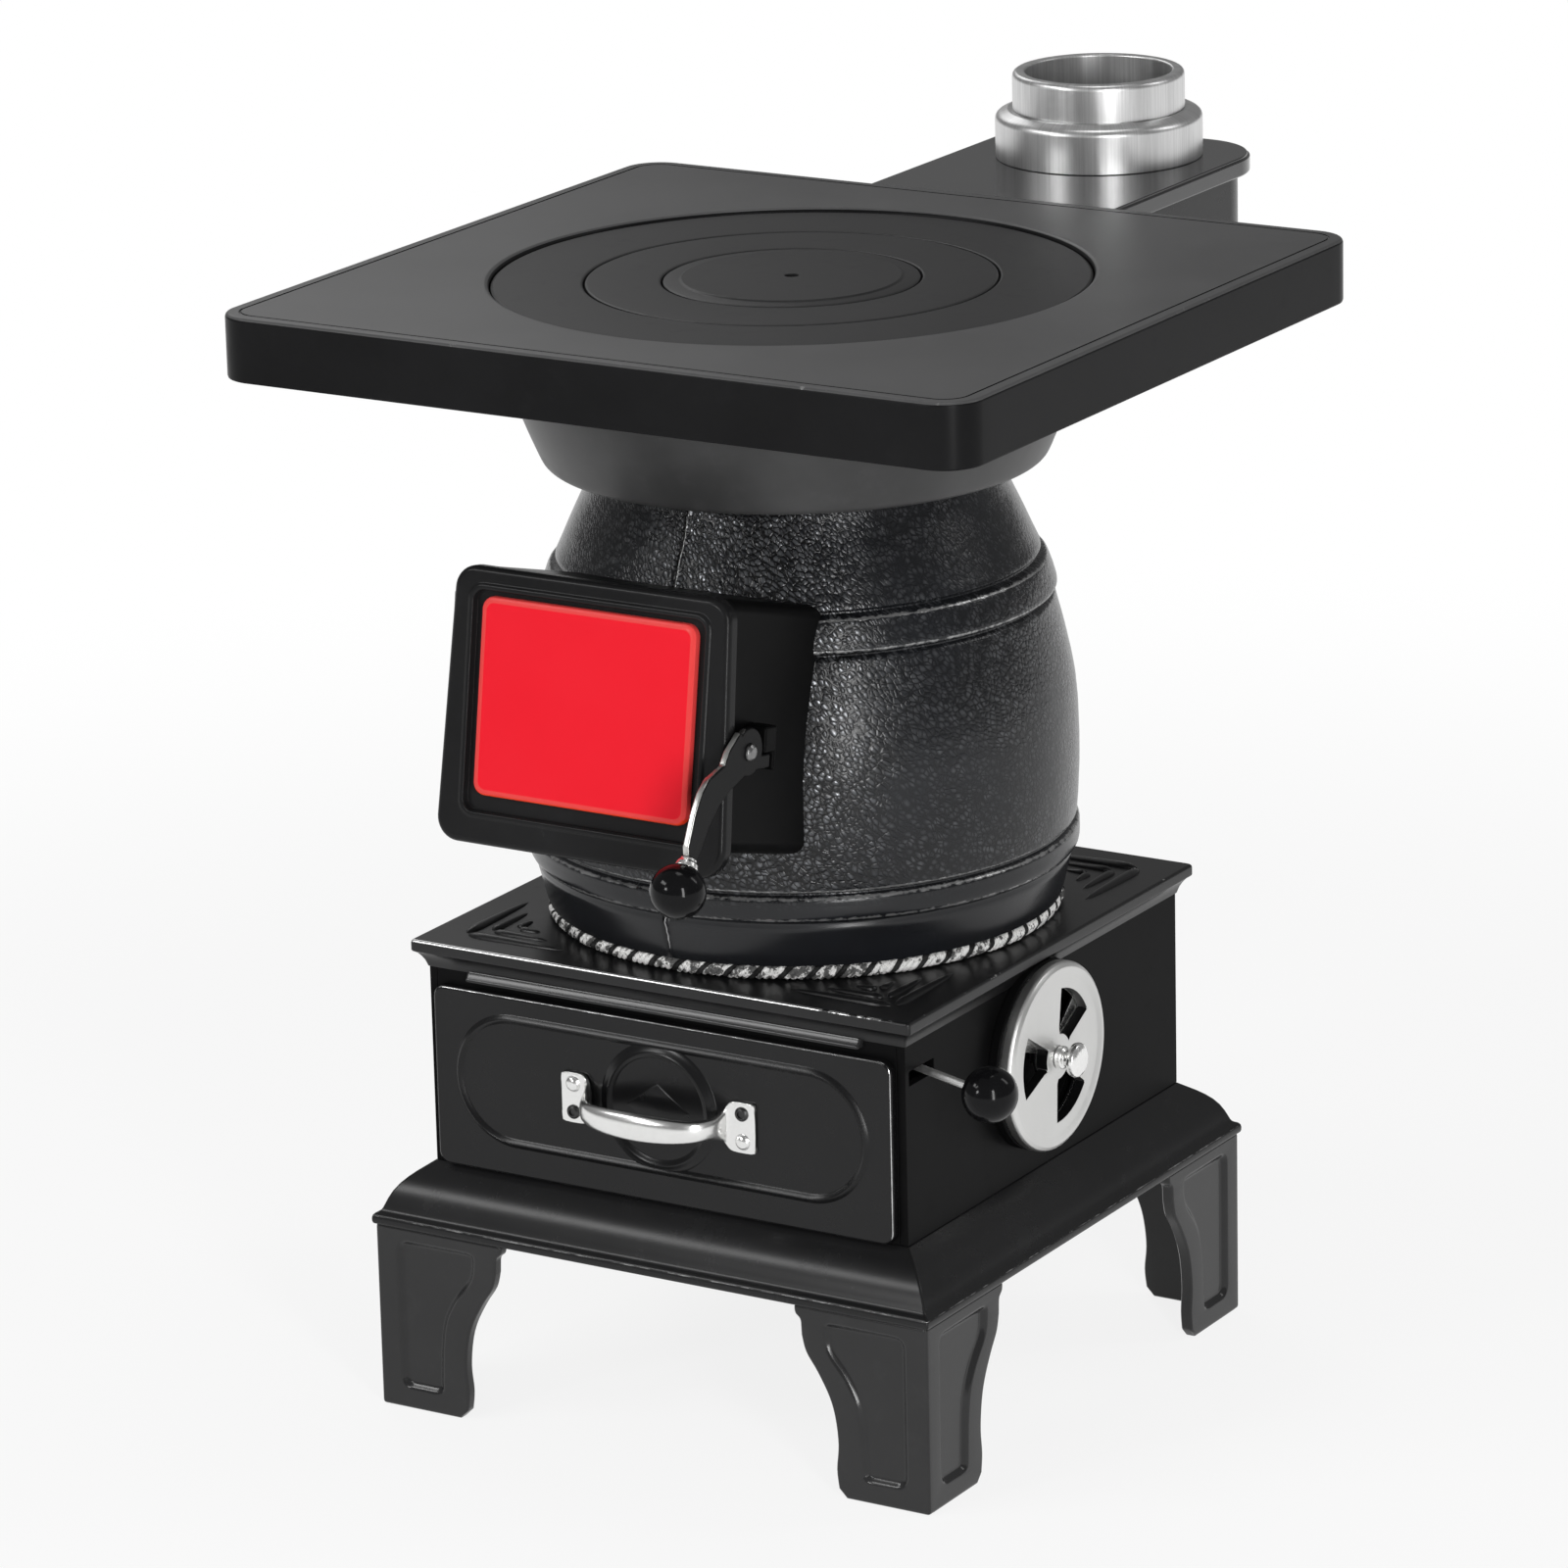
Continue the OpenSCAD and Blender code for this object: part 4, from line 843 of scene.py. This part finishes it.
def handleSections():
    # half the handle, tab to middle: x, distance out, half height, half thickness, turn of the section, power
    out, tab = handle["tabOut"], handle["tabHalf"]
    half = [(-out, 1.25, 13.6, 0.9, 0, 9), (-out + 0.8, 1.25, tab, 1.25, 0, 10), (-50, 1.3, tab, 1.25, 0, 10),
            (-46.2, 1.5, 14.0, 1.35, 4, 8), (-44.4, 2.2, 11.5, 1.7, 16, 5), (-43.2, 4.0, 8.6, 2.2, 40, 3.2),
            (-42.0, 8.0, 6.6, 2.8, 62, 2.6), (-39.8, 13.5, 5.9, 3.1, 60, 2.4), (-36.0, 18.8, 6.0, 3.3, 48, 2.3),
            (-30.0, 23.0, 6.5, 3.6, 30, 2.2), (-21.0, 26.0, 7.2, 4.0, 15, 2.2), (-10.0, 27.4, 7.8, 4.3, 6, 2.2)]
    mirrored = [(-x, away, high, thick, -turn, power) for x, away, high, thick, turn, power in reversed(half)]
    sections = []
    for x, away, high, thick, turn, power in half + [(0, 27.7, 8.0, 4.4, 0, 2.2)] + mirrored:
        lean = math.radians(turn)
        depth = Vector((math.sin(lean) * thick, math.cos(lean) * thick, 0))
        sections.append((Vector((x, faceY - away, handleZ)), Vector((0, 0, high)), depth, power))
    return sections


grip = lofted("drawer_grip", handleSections(), 48, "polished_aluminium")
subdivision = grip.modifiers.new("smooth", "SUBSURF")
subdivision.levels = subdivision.render_levels = 1
bake(grip)
smoothShade(grip.data, 50)
seat(grip, "ash_drawer", "polished_aluminium", "drawer_handle")

shankProfile = [(2, 0.05), (2, -8.4), (0, -8.4)]
domeProfile = [(0, 2.3), (1.6, 2.2), (3.0, 1.75), (3.7, 1.2), (4.1, 0.75), (4.35, 0.75), (4.6, 0.45), (4.6, 0.05)] + shankProfile
socketProfile = [(0, 0.9), (1.9, 0.9), (2.0, 1.8), (2.6, 1.9), (3.4, 1.5), (4.0, 0.7), (4.0, 0.05)] + shankProfile
for name, profile, segments, up, slotName, node in (
        ("grip_rivets", domeProfile, 40, drawer["holeUp"], "polished_aluminium", "handle_rivets"),
        ("grip_screws", socketProfile, 32, -drawer["holeUp"], "dark_screw", "handle_screws")):
    places = [((sx * drawer["holeAt"], faceY - 2.5, handleZ - sx * up), (math.pi / 2, 0, 0)) for sx in (-1, 1)]
    template = revolved("template", profile, segments=segments, closed=False)
    seat(spreadOn(name, template, places, slotName), "ash_drawer", slotName, node)
print("drawer made")

rounded("damper_seat", "damper_base", 0.8, finish="box_black")
damperHoles = {"inner": 12 * mm, "outer": 50 * mm}


def shadeOpeningWalls(piece, lowest):  # painted shade: walls inside the openings get the black finish, but for walls that look down
    piece.data.materials.append(finishes["box_black"])
    for polygon in piece.data.polygons:
        away = polygon.center - Vector(damperCentre)
        wall = abs(polygon.normal.x) < 0.5 and polygon.normal.z > lowest
        if wall and damperHoles["inner"] < math.hypot(away.y, away.z) < damperHoles["outer"]:
            polygon.material_index = 1


# bright metal back plate, given the brightest finish as painted light on its slivers that lie in shade
shadeOpeningWalls(rounded("damper_plate", "damper_back", 0.2, 2, finish="bright_rod"), -1.1)
shadeOpeningWalls(rounded("damper_disc", "damper_wheel", lambda middle, along: 0.45, 2, 24), -0.3)
rounded("damper_bolt", "damper_stem", 0.4, 2, finish="bright_rod")
rounded("damper_nut", "damper_nut_back", 0.4, 2)
rounded("grate", "fire_grate", 0.7, 2)
rounded("shaker_rod", "shaker_shaft", 0.4, 2, finish="rod_satin")
print("damper and shaker made")


def knob(name, centre, radius, axis, squash, body, node):
    turned = Vector((0, 0, 1)).rotation_difference(axis.normalized()).to_matrix()
    tall, flat = radius * squash, radius * 0.84 * squash
    turns = [math.pi * step / 40 for step in range(1, 41)]
    ball = [(radius * math.sin(turn), -radius * squash * math.cos(turn)) for turn in turns]
    profile = [(0, -tall)] + [point for point in ball if point[1] < flat] + [(radius * 0.5, flat + 0.2), (0, flat + 0.2)]
    piece = revolved(name, profile, centre, turned, 72, "knob_gloss", closed=False)
    smoothShade(piece.data, 40)
    seat(piece, body, "knob_gloss", node)


shaker = {"lean": -20.5, "start": (151.5, -129.8, 234.5), "length": 53.8, "ball": 15.4}
rodTurn = math.radians(shaker["lean"])
rodAxis = Vector((math.cos(rodTurn), math.sin(rodTurn), 0))
shakerCentre = Vector(shaker["start"]) + Vector((0, axisY, 0)) + rodAxis * shaker["length"]
knob("shaker_ball", shakerCentre, shaker["ball"], -rodAxis, 0.96, "shaker", "shaker_knob")

# Belly: radius and height of the outside, in mm
belly = {"around": 384, "step": 1.55, "wave": 0.10, "ripple": 0.05, "seamHeight": 2.1, "seamWidth": 1.2,
         "ridges": (307.6, 319.2, 323.0, 453.2, 469.4), "neckHalf": 80, "neckHigh": 134, "neckWall": 6, "neckSlope": 16}
bellyOutside = [
    (134.6, 270), (134.6, 279), (143, 279), (144.6, 284), (146.4, 292), (148.2, 299), (149.0, 302.2), (147.9, 303.6),
    (147.9, 304.6), (150.8, 305.8), (152.6, 308.5), (152.9, 312.5), (152.7, 316), (152.9, 318.4), (152.0, 319.8), (149.0, 320.8),
    (149.0, 321.8), (151.3, 322.8), (152.2, 333), (153, 350), (153.2, 368), (152.7, 386), (151.4, 400), (149.4, 412), (147, 423),
    (144.4, 434), (142.0, 443), (140.6, 448.6), (138.0, 449.8), (138.0, 450.8), (141.6, 452.2), (142.2, 453.6), (141.3, 457),
    (140.2, 461), (138.4, 466), (137.2, 469.2), (135.9, 470.6), (131.8, 471.6), (131.6, 472.6), (133.6, 473.8), (129.8, 482),
    (125.8, 491), (121.6, 500), (117.4, 509), (114.2, 517), (112, 524), (112, 528)]
bellyInside = [(104, 528), (104, 524), (105.5, 518), (109.4, 509), (117.8, 491), (124.8, 473), (133.2, 452), (141.4, 412),
               (144.7, 386), (145.2, 368), (144.2, 333), (141.6, 304), (138.4, 292), (124, 284), (124, 270)]
seamTurns = [math.radians(-89), math.radians(91)]


def seamAway(turn, seam, radius):  # distance round the belly from a seam, in seam widths
    return ((turn - seam + math.pi) % (2 * math.pi) - math.pi) * radius / belly["seamWidth"]


def bellyOutline():  # evenly stepped, its corners softened, as cast
    outline = []
    for (r0, z0), (r1, z1) in zip(bellyOutside, bellyOutside[1:]):
        count = max(1, round(math.hypot(r1 - r0, z1 - z0) / belly["step"]))
        outline += [(r0 + (r1 - r0) * k / count, z0 + (z1 - z0) * k / count) for k in range(count)]
    outline.append(bellyOutside[-1])
    soft = [((a[0] + 2 * b[0] + c[0]) / 4, (a[1] + 2 * b[1] + c[1]) / 4) if 279.5 < b[1] < 526 else b
            for a, b, c in zip(outline, outline[1:], outline[2:])]
    return [outline[0]] + soft + [outline[-1]]


def bellyTurns():  # close together at the seams
    turns = [2 * math.pi * k / belly["around"] for k in range(belly["around"])]
    for seam in seamTurns:
        turns += [seam % (2 * math.pi) + away * mm for away in (-30, -24, -19, -14, -10, -7, -4.5, -2, 0, 2, 4.5, 7, 10, 14, 19)]
    turns = sorted(turns)
    return [turn for turn, before in zip(turns, [-1] + turns) if turn - before > 0.0008]


def bellyLift(radius, height, turn):  # waves of the casting, a ridge on each seam and a groove beside it
    spot = Vector((radius * math.cos(turn), radius * math.sin(turn), height))
    lift = belly["wave"] * noise.noise(spot * 0.06) + belly["ripple"] * noise.noise(spot * 0.33)
    for seam in seamTurns:
        away = seamAway(turn, seam, radius)
        ragged = 0.7 + 0.75 * noise.noise(Vector((height * 0.25, seam, 0)))
        lift += belly["seamHeight"] * ragged * (math.exp(-away ** 2) - 0.7 * math.exp(-(away + 1.9) ** 2))
    return lift


def neckCutter():
    w, h = belly["neckHalf"] - belly["neckWall"], belly["neckHigh"] / 2 - belly["neckWall"]
    turn = Matrix.Rotation(math.radians(-90 - belly["neckSlope"]), 3, "X")
    start = Vector((0, -211 + axisY, plateTop + 167))
    rings = [[turn @ Vector((x, y, z)) + start for x, y in rectRing(w, h, 4, 5)] for z in (-30, 190)]
    return ringed("neckCutter", rings, closed=False)


def bellyCasting():
    outline, turns = bellyOutline(), bellyTurns()
    rings, wearGlint, seamGrooveShade = [], [], []
    for index, (radius, height) in enumerate(outline + bellyInside):
        outer = index < len(outline)
        ring = []
        for turn in turns:
            out = radius + (bellyLift(radius, height, turn) if outer and 280 < height < 527 else 0)
            ring.append((out * math.cos(turn), out * math.sin(turn) + axisY, height))
            away = min((seamAway(turn, seam, radius) for seam in seamTurns), key=abs)
            onSeam = outer and 284 < height < 527
            # the hoop ridges and seams get worn metal that lays painted highlight lines and glints; the groove beside
            # each seam gets painted shade
            onRidge = 1 - min(abs(height - ridge) for ridge in belly["ridges"]) / 2.0 if outer else 0.0
            wearGlint.append(max(0.0, 0.9 * onRidge, 0.85 * math.exp(-(away * 1.6) ** 2) if onSeam else 0.0))
            seamGrooveShade.append(math.exp(-((away + 1.9) * 1.1) ** 2) if onSeam else 0.0)
        rings.append(ring)
    piece = ringed("belly_casting", rings, "cast_grain")
    pointValues(piece.data, "wear_and_glint", wearGlint)
    pointValues(piece.data, "groove_shade", seamGrooveShade)
    cutWith(piece, neckCutter())
    smoothShade(piece.data, 38)
    return seat(piece, "base", "cast_grain", "belly")


print("belly made:", len(bellyCasting().data.polygons), "faces")


def ropeTree():  # one yarn wound round a ring, repeated at even steps of its lay
    tree, sockets, graph, links = newTree("ropeRing", (
        ("Ring Radius", "Float"), ("Yarn Offset", "Float"), ("Yarn Radius", "Float"), ("Turns", "Int"), ("Yarns", "Int"),
        ("Kept", "Int"), ("Points", "Int"), ("First Turn", "Float"), ("Unevenness", "Float"), ("Finish", "Material")))
    ring, offset, yarn, turns, yarns, kept, count, first, uneven, surface = links[1:]
    circle = graph.node("GeometryNodeCurvePrimitiveCircle", {}, {"Resolution": count, "Radius": ring})
    angle = graph.node("GeometryNodeInputIndex") / count * (2 * math.pi)
    lay = angle * turns
    wobble = graph.node("ShaderNodeTexNoise", {"noise_dimensions": "3D"}, {"Scale": 330.0, "Detail": 2.0}) - 0.5
    spin = offset * (wobble * uneven + 1)
    reach = ring + spin * lay.maths("COSINE", lay)
    cosine, sine = angle.maths("COSINE", angle), angle.maths("SINE", angle)
    place = graph.vector(reach * cosine, reach * sine, spin * lay.maths("SINE", lay))
    helix = graph.node("GeometryNodeSetPosition", {}, {"Geometry": circle, "Position": place})
    section = graph.node("GeometryNodeCurvePrimitiveCircle", {}, {"Resolution": 7, "Radius": yarn})
    tube = graph.node("GeometryNodeCurveToMesh", {}, {"Curve": helix, "Profile Curve": section})
    starts = graph.node("GeometryNodeMeshLine", {}, {"Count": kept, "Offset": (0, 0, 0)})
    step = (graph.node("GeometryNodeInputIndex") + first) * (2 * math.pi) / (turns * yarns)
    dressedCopies(graph, surface, {"Points": starts, "Instance": tube, "Rotation": graph.vector(z=step)})
    return tree, sockets


rope = {"Ring Radius": 139.3 * mm, "Yarn Offset": 2.3 * mm, "Yarn Radius": 1.75 * mm, "Turns": 58, "Yarns": 4, "Points": 1624,
        "Unevenness": 1.7}
ropeRing, ropeSockets = ropeTree()


def ropeYarns(name, first, kept, finish, *nodes):
    piece = grown(newObject(name, meshOf(name, [(0, 0, 0)], [])), ropeRing, ropeSockets,
                  {**rope, "Kept": kept, "First Turn": float(first), "Finish": finishes[finish]})
    piece.data.transform(Matrix.Translation(Vector((0, axisY, plateTop + 4.6)) * mm))
    smoothShade(piece.data, 60)
    seat(piece, "base", "sealing_rope", *nodes)


ropeYarns("rope_pale", 0, 3, "sealing_rope", "rope_seal")
ropeYarns("rope_dark", 3, 1, "rope_dark")
print("rope made")


door = {"half": 88, "high": 149, "thick": 9, "taper": 0.027, "corners": (13, 13, 13, 18), "front": 3.6,
        "beadHalf": (75.5, 62.75), "wellHalf": (72.25, 59.5), "lift": 3}


def doorOutline(inward):  # narrower towards the top
    half, points = door["high"] / 2, []
    edge = lambda v: door["half"] - v * door["taper"]
    for (cx, cz, first), radius in zip(corners, door["corners"]):
        points += arc(max(2, radius - inward), (cx * (edge(cz * half) - radius), cz * (half - radius)), first, first + 90, 9)
    return points


def doorPiece():
    front, thick, lift = door["front"], door["thick"], door["lift"]
    (w, h), (u, v) = door["beadHalf"], door["wellHalf"]
    outlines = [(0.8, thick), (0, thick - 0.8)]
    for turn in (math.radians(15 * step) for step in range(7)):
        outlines.append((front * (1 - math.cos(turn)), front * (1 - math.sin(turn))))
    rings = [[onDoor(x, deep, z) for x, z in doorOutline(inward)] for inward, deep in outlines]
    for grow, deep in ((1.1, 0), (0.3, -0.15), (-0.2, -0.7), (-0.7, -1.2), (-1.5, -1.4)):
        rings.append([onDoor(x, deep, z + lift) for x, z in rectRing(w + grow, h + grow, 9 + grow, 9)])
    for grow, deep in ((0.9, -1.4), (0.3, -1.1), (0, -0.5), (0, 2.4), (-0.6, 3.0)):
        rings.append([onDoor(x, deep, z + lift) for x, z in rectRing(u + grow, v + grow, 6.5 + grow, 9)])
    slab = ringed("slab", rings, "door_black", closed=False)
    eyes = rounded("fire_door", "eyes", 0.6, 2, keep=(onDoor(0, thick + 0.05, 0) * mm, doorTurn @ Vector((0, 1, 0))))
    seat(weighted(joined("door_frame", [slab, eyes]), 34), "loading_door", "door_black", "fire_door")


doorPiece()
rounded("door_neck", "feed_neck", 0.8, finish="box_black")
rounded("latch_keeper", "latch_hook", 1.5, finish="box_black")
rounded("hinge_pins", "door_pins", 0.4, 2)


panel = {"half": (67, 53.5), "corner": 7, "lift": 6,
         "edge": ((0, 3.1), (0, 1.1), (0.45, -0.2), (1.2, -0.75), (3.4, -1.0), (3.9, -1.0))}  # inwards, depth into the door


def panelPiece():  # flat red face with a sloped edge, whose slopes get lighter reds by facing as painted sheen
    (w, h), rings = panel["half"], []
    for inward, depth in panel["edge"]:
        plan = rectRing(w - inward, h - inward, max(1.5, panel["corner"] - inward * 0.7), 8)
        rings.append([onDoor(x, depth, z + panel["lift"]) for x, z in plan])
    piece = ringed("door_panel_red", rings, "red_enamel", closed=False)
    # painted sheen: lighter, pinker reds on the upper and side slopes, a more orange red on the downward ones
    for finish in ("red_edge_sheen", "red_lower_sheen"):
        piece.data.materials.append(finishes[finish])
    for polygon in piece.data.polygons[:(len(rings) - 2) * len(rings[0])]:
        polygon.material_index = 2 if (doorTurn.transposed() @ polygon.normal).z < -0.3 else 1
    smoothShade(piece.data, 30)
    seat(piece, "loading_door", "red_enamel", "door_panel")


panelPiece()

lever = rounded("latch_lever", "latch_arm", 1.1, 3)
wear_and_glint = lever.data.attributes.new("wear_and_glint", "FLOAT", "CORNER")
for item, corner in zip(wear_and_glint.data, lever.data.corner_normals):  # the edge that faces forwards is worn bright
    local = doorTurn.transposed() @ Vector(corner.vector)
    item.value = max(0.0, min(1.0, -local.y * 1.4 - abs(local.x) * 0.5))
rounded("latch_ferrule", "latch_cap", 0.3, 2)
rounded("latch_rivet", "latch_pin", 0.3, 2, finish="rivet_steel")
ballDirection = doorTurn @ Vector((0, 10, 17.7)).normalized()
knob("latch_ball", onDoor(91.5, -45, -72.7), 15.0, ballDirection, 0.97, "latch", "latch_knob")
print("door made")


bowlOutside = [(102.5, 528), (135, 528), (137, 528.6), (138.6, 530), (139.8, 532), (141.6, 536), (147, 549), (152.2, 563),
               (156.8, 577), (160, 590), (161, 599), (161, 610)]
bowlInside = [(154, 610), (154, 599), (153, 590), (149.8, 577), (145.2, 563), (140, 549), (134.6, 538), (129, 535), (102, 535),
              (102, 528.5)]


def bowlPiece():
    outline = [bowlOutside[0], bowlOutside[1]] + curved(bowlOutside[1:], 3)[1:] + bowlInside
    lift, ductTop = plateTop - 270, hobTop - 17.6
    profile = [(r, z + lift) for r, z in outline]
    # the bowl's lighter iron paints light into the hob's shade
    piece = revolved("bowl_casting", profile, (0, axisY, 0), segments=192, finish="bowl_lit_satin")
    cutWith(piece, block(-64, 64, 60 + axisY, 230 + axisY, ductTop - 37, ductTop + 1))
    smoothShade(piece.data, 34)
    seat(piece, "base", "cast_satin", "bowl")


bowlPiece()
rounded("smoke_duct", "smoke_duct_casting", 0.5, 2)

hob = {"half": (232, 219), "corner": 22, "edge": 2.4, "wall": 7, "thick": 8, "seat": 164.4, "seatDeep": 10, "ledge": 157,
       "boss": 172, "bossDeep": 17.6, "groove": ((7.4, 0), (7.7, 0.5), (8.15, 0.7), (8.6, 0.5), (8.9, 0))}


def hobPiece():
    (w, d), wall, edge, reach, inner, boss = (hob[key] for key in ("half", "wall", "edge", "seat", "ledge", "boss"))
    low, top = hobLow, hobTop
    under, ledge, deep = (hobTop - hob[key] for key in ("thick", "seatDeep", "bossDeep"))
    profile = [(wall, under), (wall, low + 0.8), (wall - 0.8, low), (1.4, low), (0.4, low + 0.4), (0, low + 1.4)]
    # the top edge's rings get worn edges that also lay a painted highlight along them
    bright = range(len(profile) + 2, len(profile) + 6)
    profile += [(edge + x, top - edge + z) for x, z in arc(edge, (0, 0), 180, 90, 6)]
    profile += [(inward, top - down) for inward, down in hob["groove"]]
    plans = [rectRing(w - inward, d - inward, hob["corner"] - min(inward, 14), 10, 44) for inward, z in profile]
    rings = [flatRing(plan, z) for plan, (inward, z) in zip(plans, profile)]
    for radius, z in ((reach + 2.8, top), (reach + 1.7, top - 0.25), (reach + 0.8, top - 0.9), (reach + 0.2, top - 1.9),
                      (reach, top - 3), (reach, ledge), (inner, ledge), (inner, deep), (boss, deep), (boss, under)):
        rings.append(flatRing(circleLike(plans[-1], radius), z))
    piece = ringed("hob_plate", rings, "hob_iron", bright=bright, wearGlint=0.8)
    cutWith(piece, block(-64.3, 64.3, 211 + axisY, 220 + axisY, low - 1, under + 0.3))
    weighted(piece, 30)
    # painted light and shade: the top keeps a much lighter copy of the iron than the walls, which get a darker one
    piece.data.materials.append(finishes["hob_wall"])
    for polygon in piece.data.polygons:
        polygon.material_index = 0 if polygon.normal.z > 0.6 else 1
    seat(piece, "base", "hob_iron", "cooktop")


hobPiece()
hobRings = {
    "hob_ring_outer": ("ring_outer", [
        (106.5, 0), (164, 0), (164, 6.0), (163.5, 7.3), (162.3, 8), (115.0, 8), (113.8, 7.5), (113.2, 6.4), (113.2, 4), (106.5, 4)]),
    "hob_ring_middle": ("ring_middle", [
        (64.1, 0), (106.1, 0), (106.1, 4), (112.8, 4), (112.8, 6.4), (112.2, 7.5), (111.0, 8), (72.6, 8), (71.4, 7.5), (70.8, 6.4),
        (70.8, 4), (64.1, 4)]),
    "hob_lid": ("centre_lid", [
        (0, 0), (63.7, 0), (63.7, 4), (70.4, 4), (70.4, 6.4), (69.9, 7.4), (68.8, 8), (61.6, 8.35), (61.0, 8.55), (60.2, 9.05),
        (59.6, 9.2), (4.2, 9.2), (3.8, 8.8), (3.8, 4.5), (0, 4.5)])}
for name, (node, outline) in hobRings.items():
    disc = revolved(name, outline, (0, axisY, hobTop - hob["seatDeep"]), segments=192, finish="ring_iron")
    seat(weighted(disc, 30), bodyOfNode[node], "hob_iron", node)
rounded("flue_box", "smoke_box", 1.0)
rounded("flue_lid", "smoke_box_lid", lambda middle, along: 1.6 if middle.z < hobTop - 2.4 else 0.6)
flueParts = {
    "flue_band": ("flue_collar", [
        (49.7, 0), (59.8, 0), (60.2, 0.5), (60.2, 21.8), (60.0, 23.2), (59.4, 24.5), (58.3, 25.6), (57.2, 26.2), (53.4, 27.8),
        (52.8, 28), (49.7, 28)]),
    "flue_tube": ("flue_spigot", [
        (42.5, 0), (49.4, 0), (49.4, 28.3), (50, 28.3), (50, 46.6), (49.7, 48.2), (49.0, 49.3), (48.0, 49.9), (47.2, 50), (43.6, 50),
        (42.9, 49.6), (42.5, 48.8)])}
for name, (node, outline) in flueParts.items():
    sleeve = revolved(name, outline, (0, flueCentre[1] / mm, hobTop - 0.6), segments=160, finish="flue_steel")
    seat(weighted(sleeve, 28), "base", "flue_steel", node)
print("hob and flue made")

# Studio: pale floor, soft lamps, the camera of the photograph
studio = {
    "floorHalf": 30.0, "floorWhite": 0.9, "nearGlow": 0.85, "shadowReach": (0.7, 1.7), "sky": 0.24, "horizon": 0.20,
    "target": (-0.01099, -0.06248, 0.3373), "azimuth": 31.592, "elevation": 16.827, "roll": -1.375, "lens": 171.07,
    "distance": 4.1324}


def floorPiece():
    half = studio["floorHalf"]
    spots = [(sx * half, sy * half, 0) for sx, sy in ((-1, -1), (1, -1), (1, 1), (-1, 1))]
    piece = newObject("floor", meshOf("floor", spots, [(0, 1, 2, 3)]))
    material, graph, place = newFinish("paleFloor")
    path = graph.node("ShaderNodeLightPath").socket.node.outputs
    camera, glossy, transmitted = (Link(graph, path[f"Is {kind} Ray"]) for kind in ("Camera", "Glossy", "Transmission"))
    matt = graph.node("ShaderNodeBsdfDiffuse", {}, {"Color": (studio["floorWhite"],) * 3 + (1,)})
    glow = graph.node("ShaderNodeEmission", {}, {"Color": (1, 1, 1, 1), "Strength": 1.0})
    away = graph.node("ShaderNodeVectorMath", {"operation": "LENGTH"}, {0: place}, "Value")
    share = away.between(*studio["shadowReach"], studio["nearGlow"], 1.0)
    mixed = graph.node("ShaderNodeMixShader", {}, {0: camera.most(glossy).most(transmitted) * share, 1: matt, 2: glow})
    graph.node("ShaderNodeOutputMaterial", {}, {"Surface": mixed})
    piece.data.materials.append(material)


def lamp(name, place, target, size, power):
    light = bpy.data.lights.new(name, "AREA")
    light.shape, light.size, light.size_y, light.energy = "RECTANGLE", size[0], size[1], power
    holder = newObject(name, light)
    holder.location = place
    holder.rotation_euler = (Vector(target) - Vector(place)).to_track_quat("-Z", "Y").to_euler()


def worldLight():
    world = bpy.data.worlds.new("softStudio")
    bpy.context.scene.world = world
    world.use_nodes = True
    world.node_tree.nodes.clear()
    graph = Graph(world.node_tree)
    up = graph.axes(graph.node("ShaderNodeTexCoord", out="Generated"))[2]
    level = up.between(0.05, 0.3, studio["horizon"], studio["sky"])
    glow = graph.node("ShaderNodeBackground", {}, {"Color": (1, 1, 1, 1), "Strength": level})
    graph.node("ShaderNodeOutputWorld", {}, {"Surface": glow})


def photoCamera():
    a, e, r = (math.radians(studio[key]) for key in ("azimuth", "elevation", "roll"))
    back = Vector((math.sin(a) * math.cos(e), -math.cos(a) * math.cos(e), math.sin(e)))
    right = Vector((math.cos(a), math.sin(a), 0))
    up = back.cross(right)
    across, upward = right * math.cos(r) + up * math.sin(r), up * math.cos(r) - right * math.sin(r)
    camera = newObject("camera", bpy.data.cameras.new("camera"))
    camera.data.lens, camera.data.sensor_width = studio["lens"], 36.0
    camera.data.clip_start, camera.data.clip_end = 0.05, 200
    place = Vector(studio["target"]) + back * studio["distance"]
    camera.matrix_world = Matrix.Translation(place) @ Matrix((across, upward, back)).transposed().to_4x4()
    bpy.context.scene.camera = camera


floorPiece()
worldLight()
lamps = {  # place, target, size in m, power in W
    "key": ((-0.97, -2.99, 1.42), (0, 0, 0.4), (0.45, 0.45), 15.5),
    "rightLow": ((1.76, -1.60, 0.80), (0, 0, 0.42), (0.3, 1.4), 26),
    "leftTop": ((-1.62, -1.90, 2.05), (0, 0, 0.3), (1.2, 0.45), 18),
    "rearRight": ((2.01, 1.41, 2.12), (0, 0, 0.4), (0.5, 1.2), 8),
    "rearLeft": ((-1.96, 1.53, 2.07), (0, 0, 0.4), (1.4, 1.0), 8),
    "top": ((0.1, 0.2, 3.2), (0, 0, 0.4), (0.9, 0.9), 9)}
for name, values in lamps.items():
    lamp(name, *values)
photoCamera()
bpy.context.scene.view_settings.view_transform = "Standard"
print("studio made")
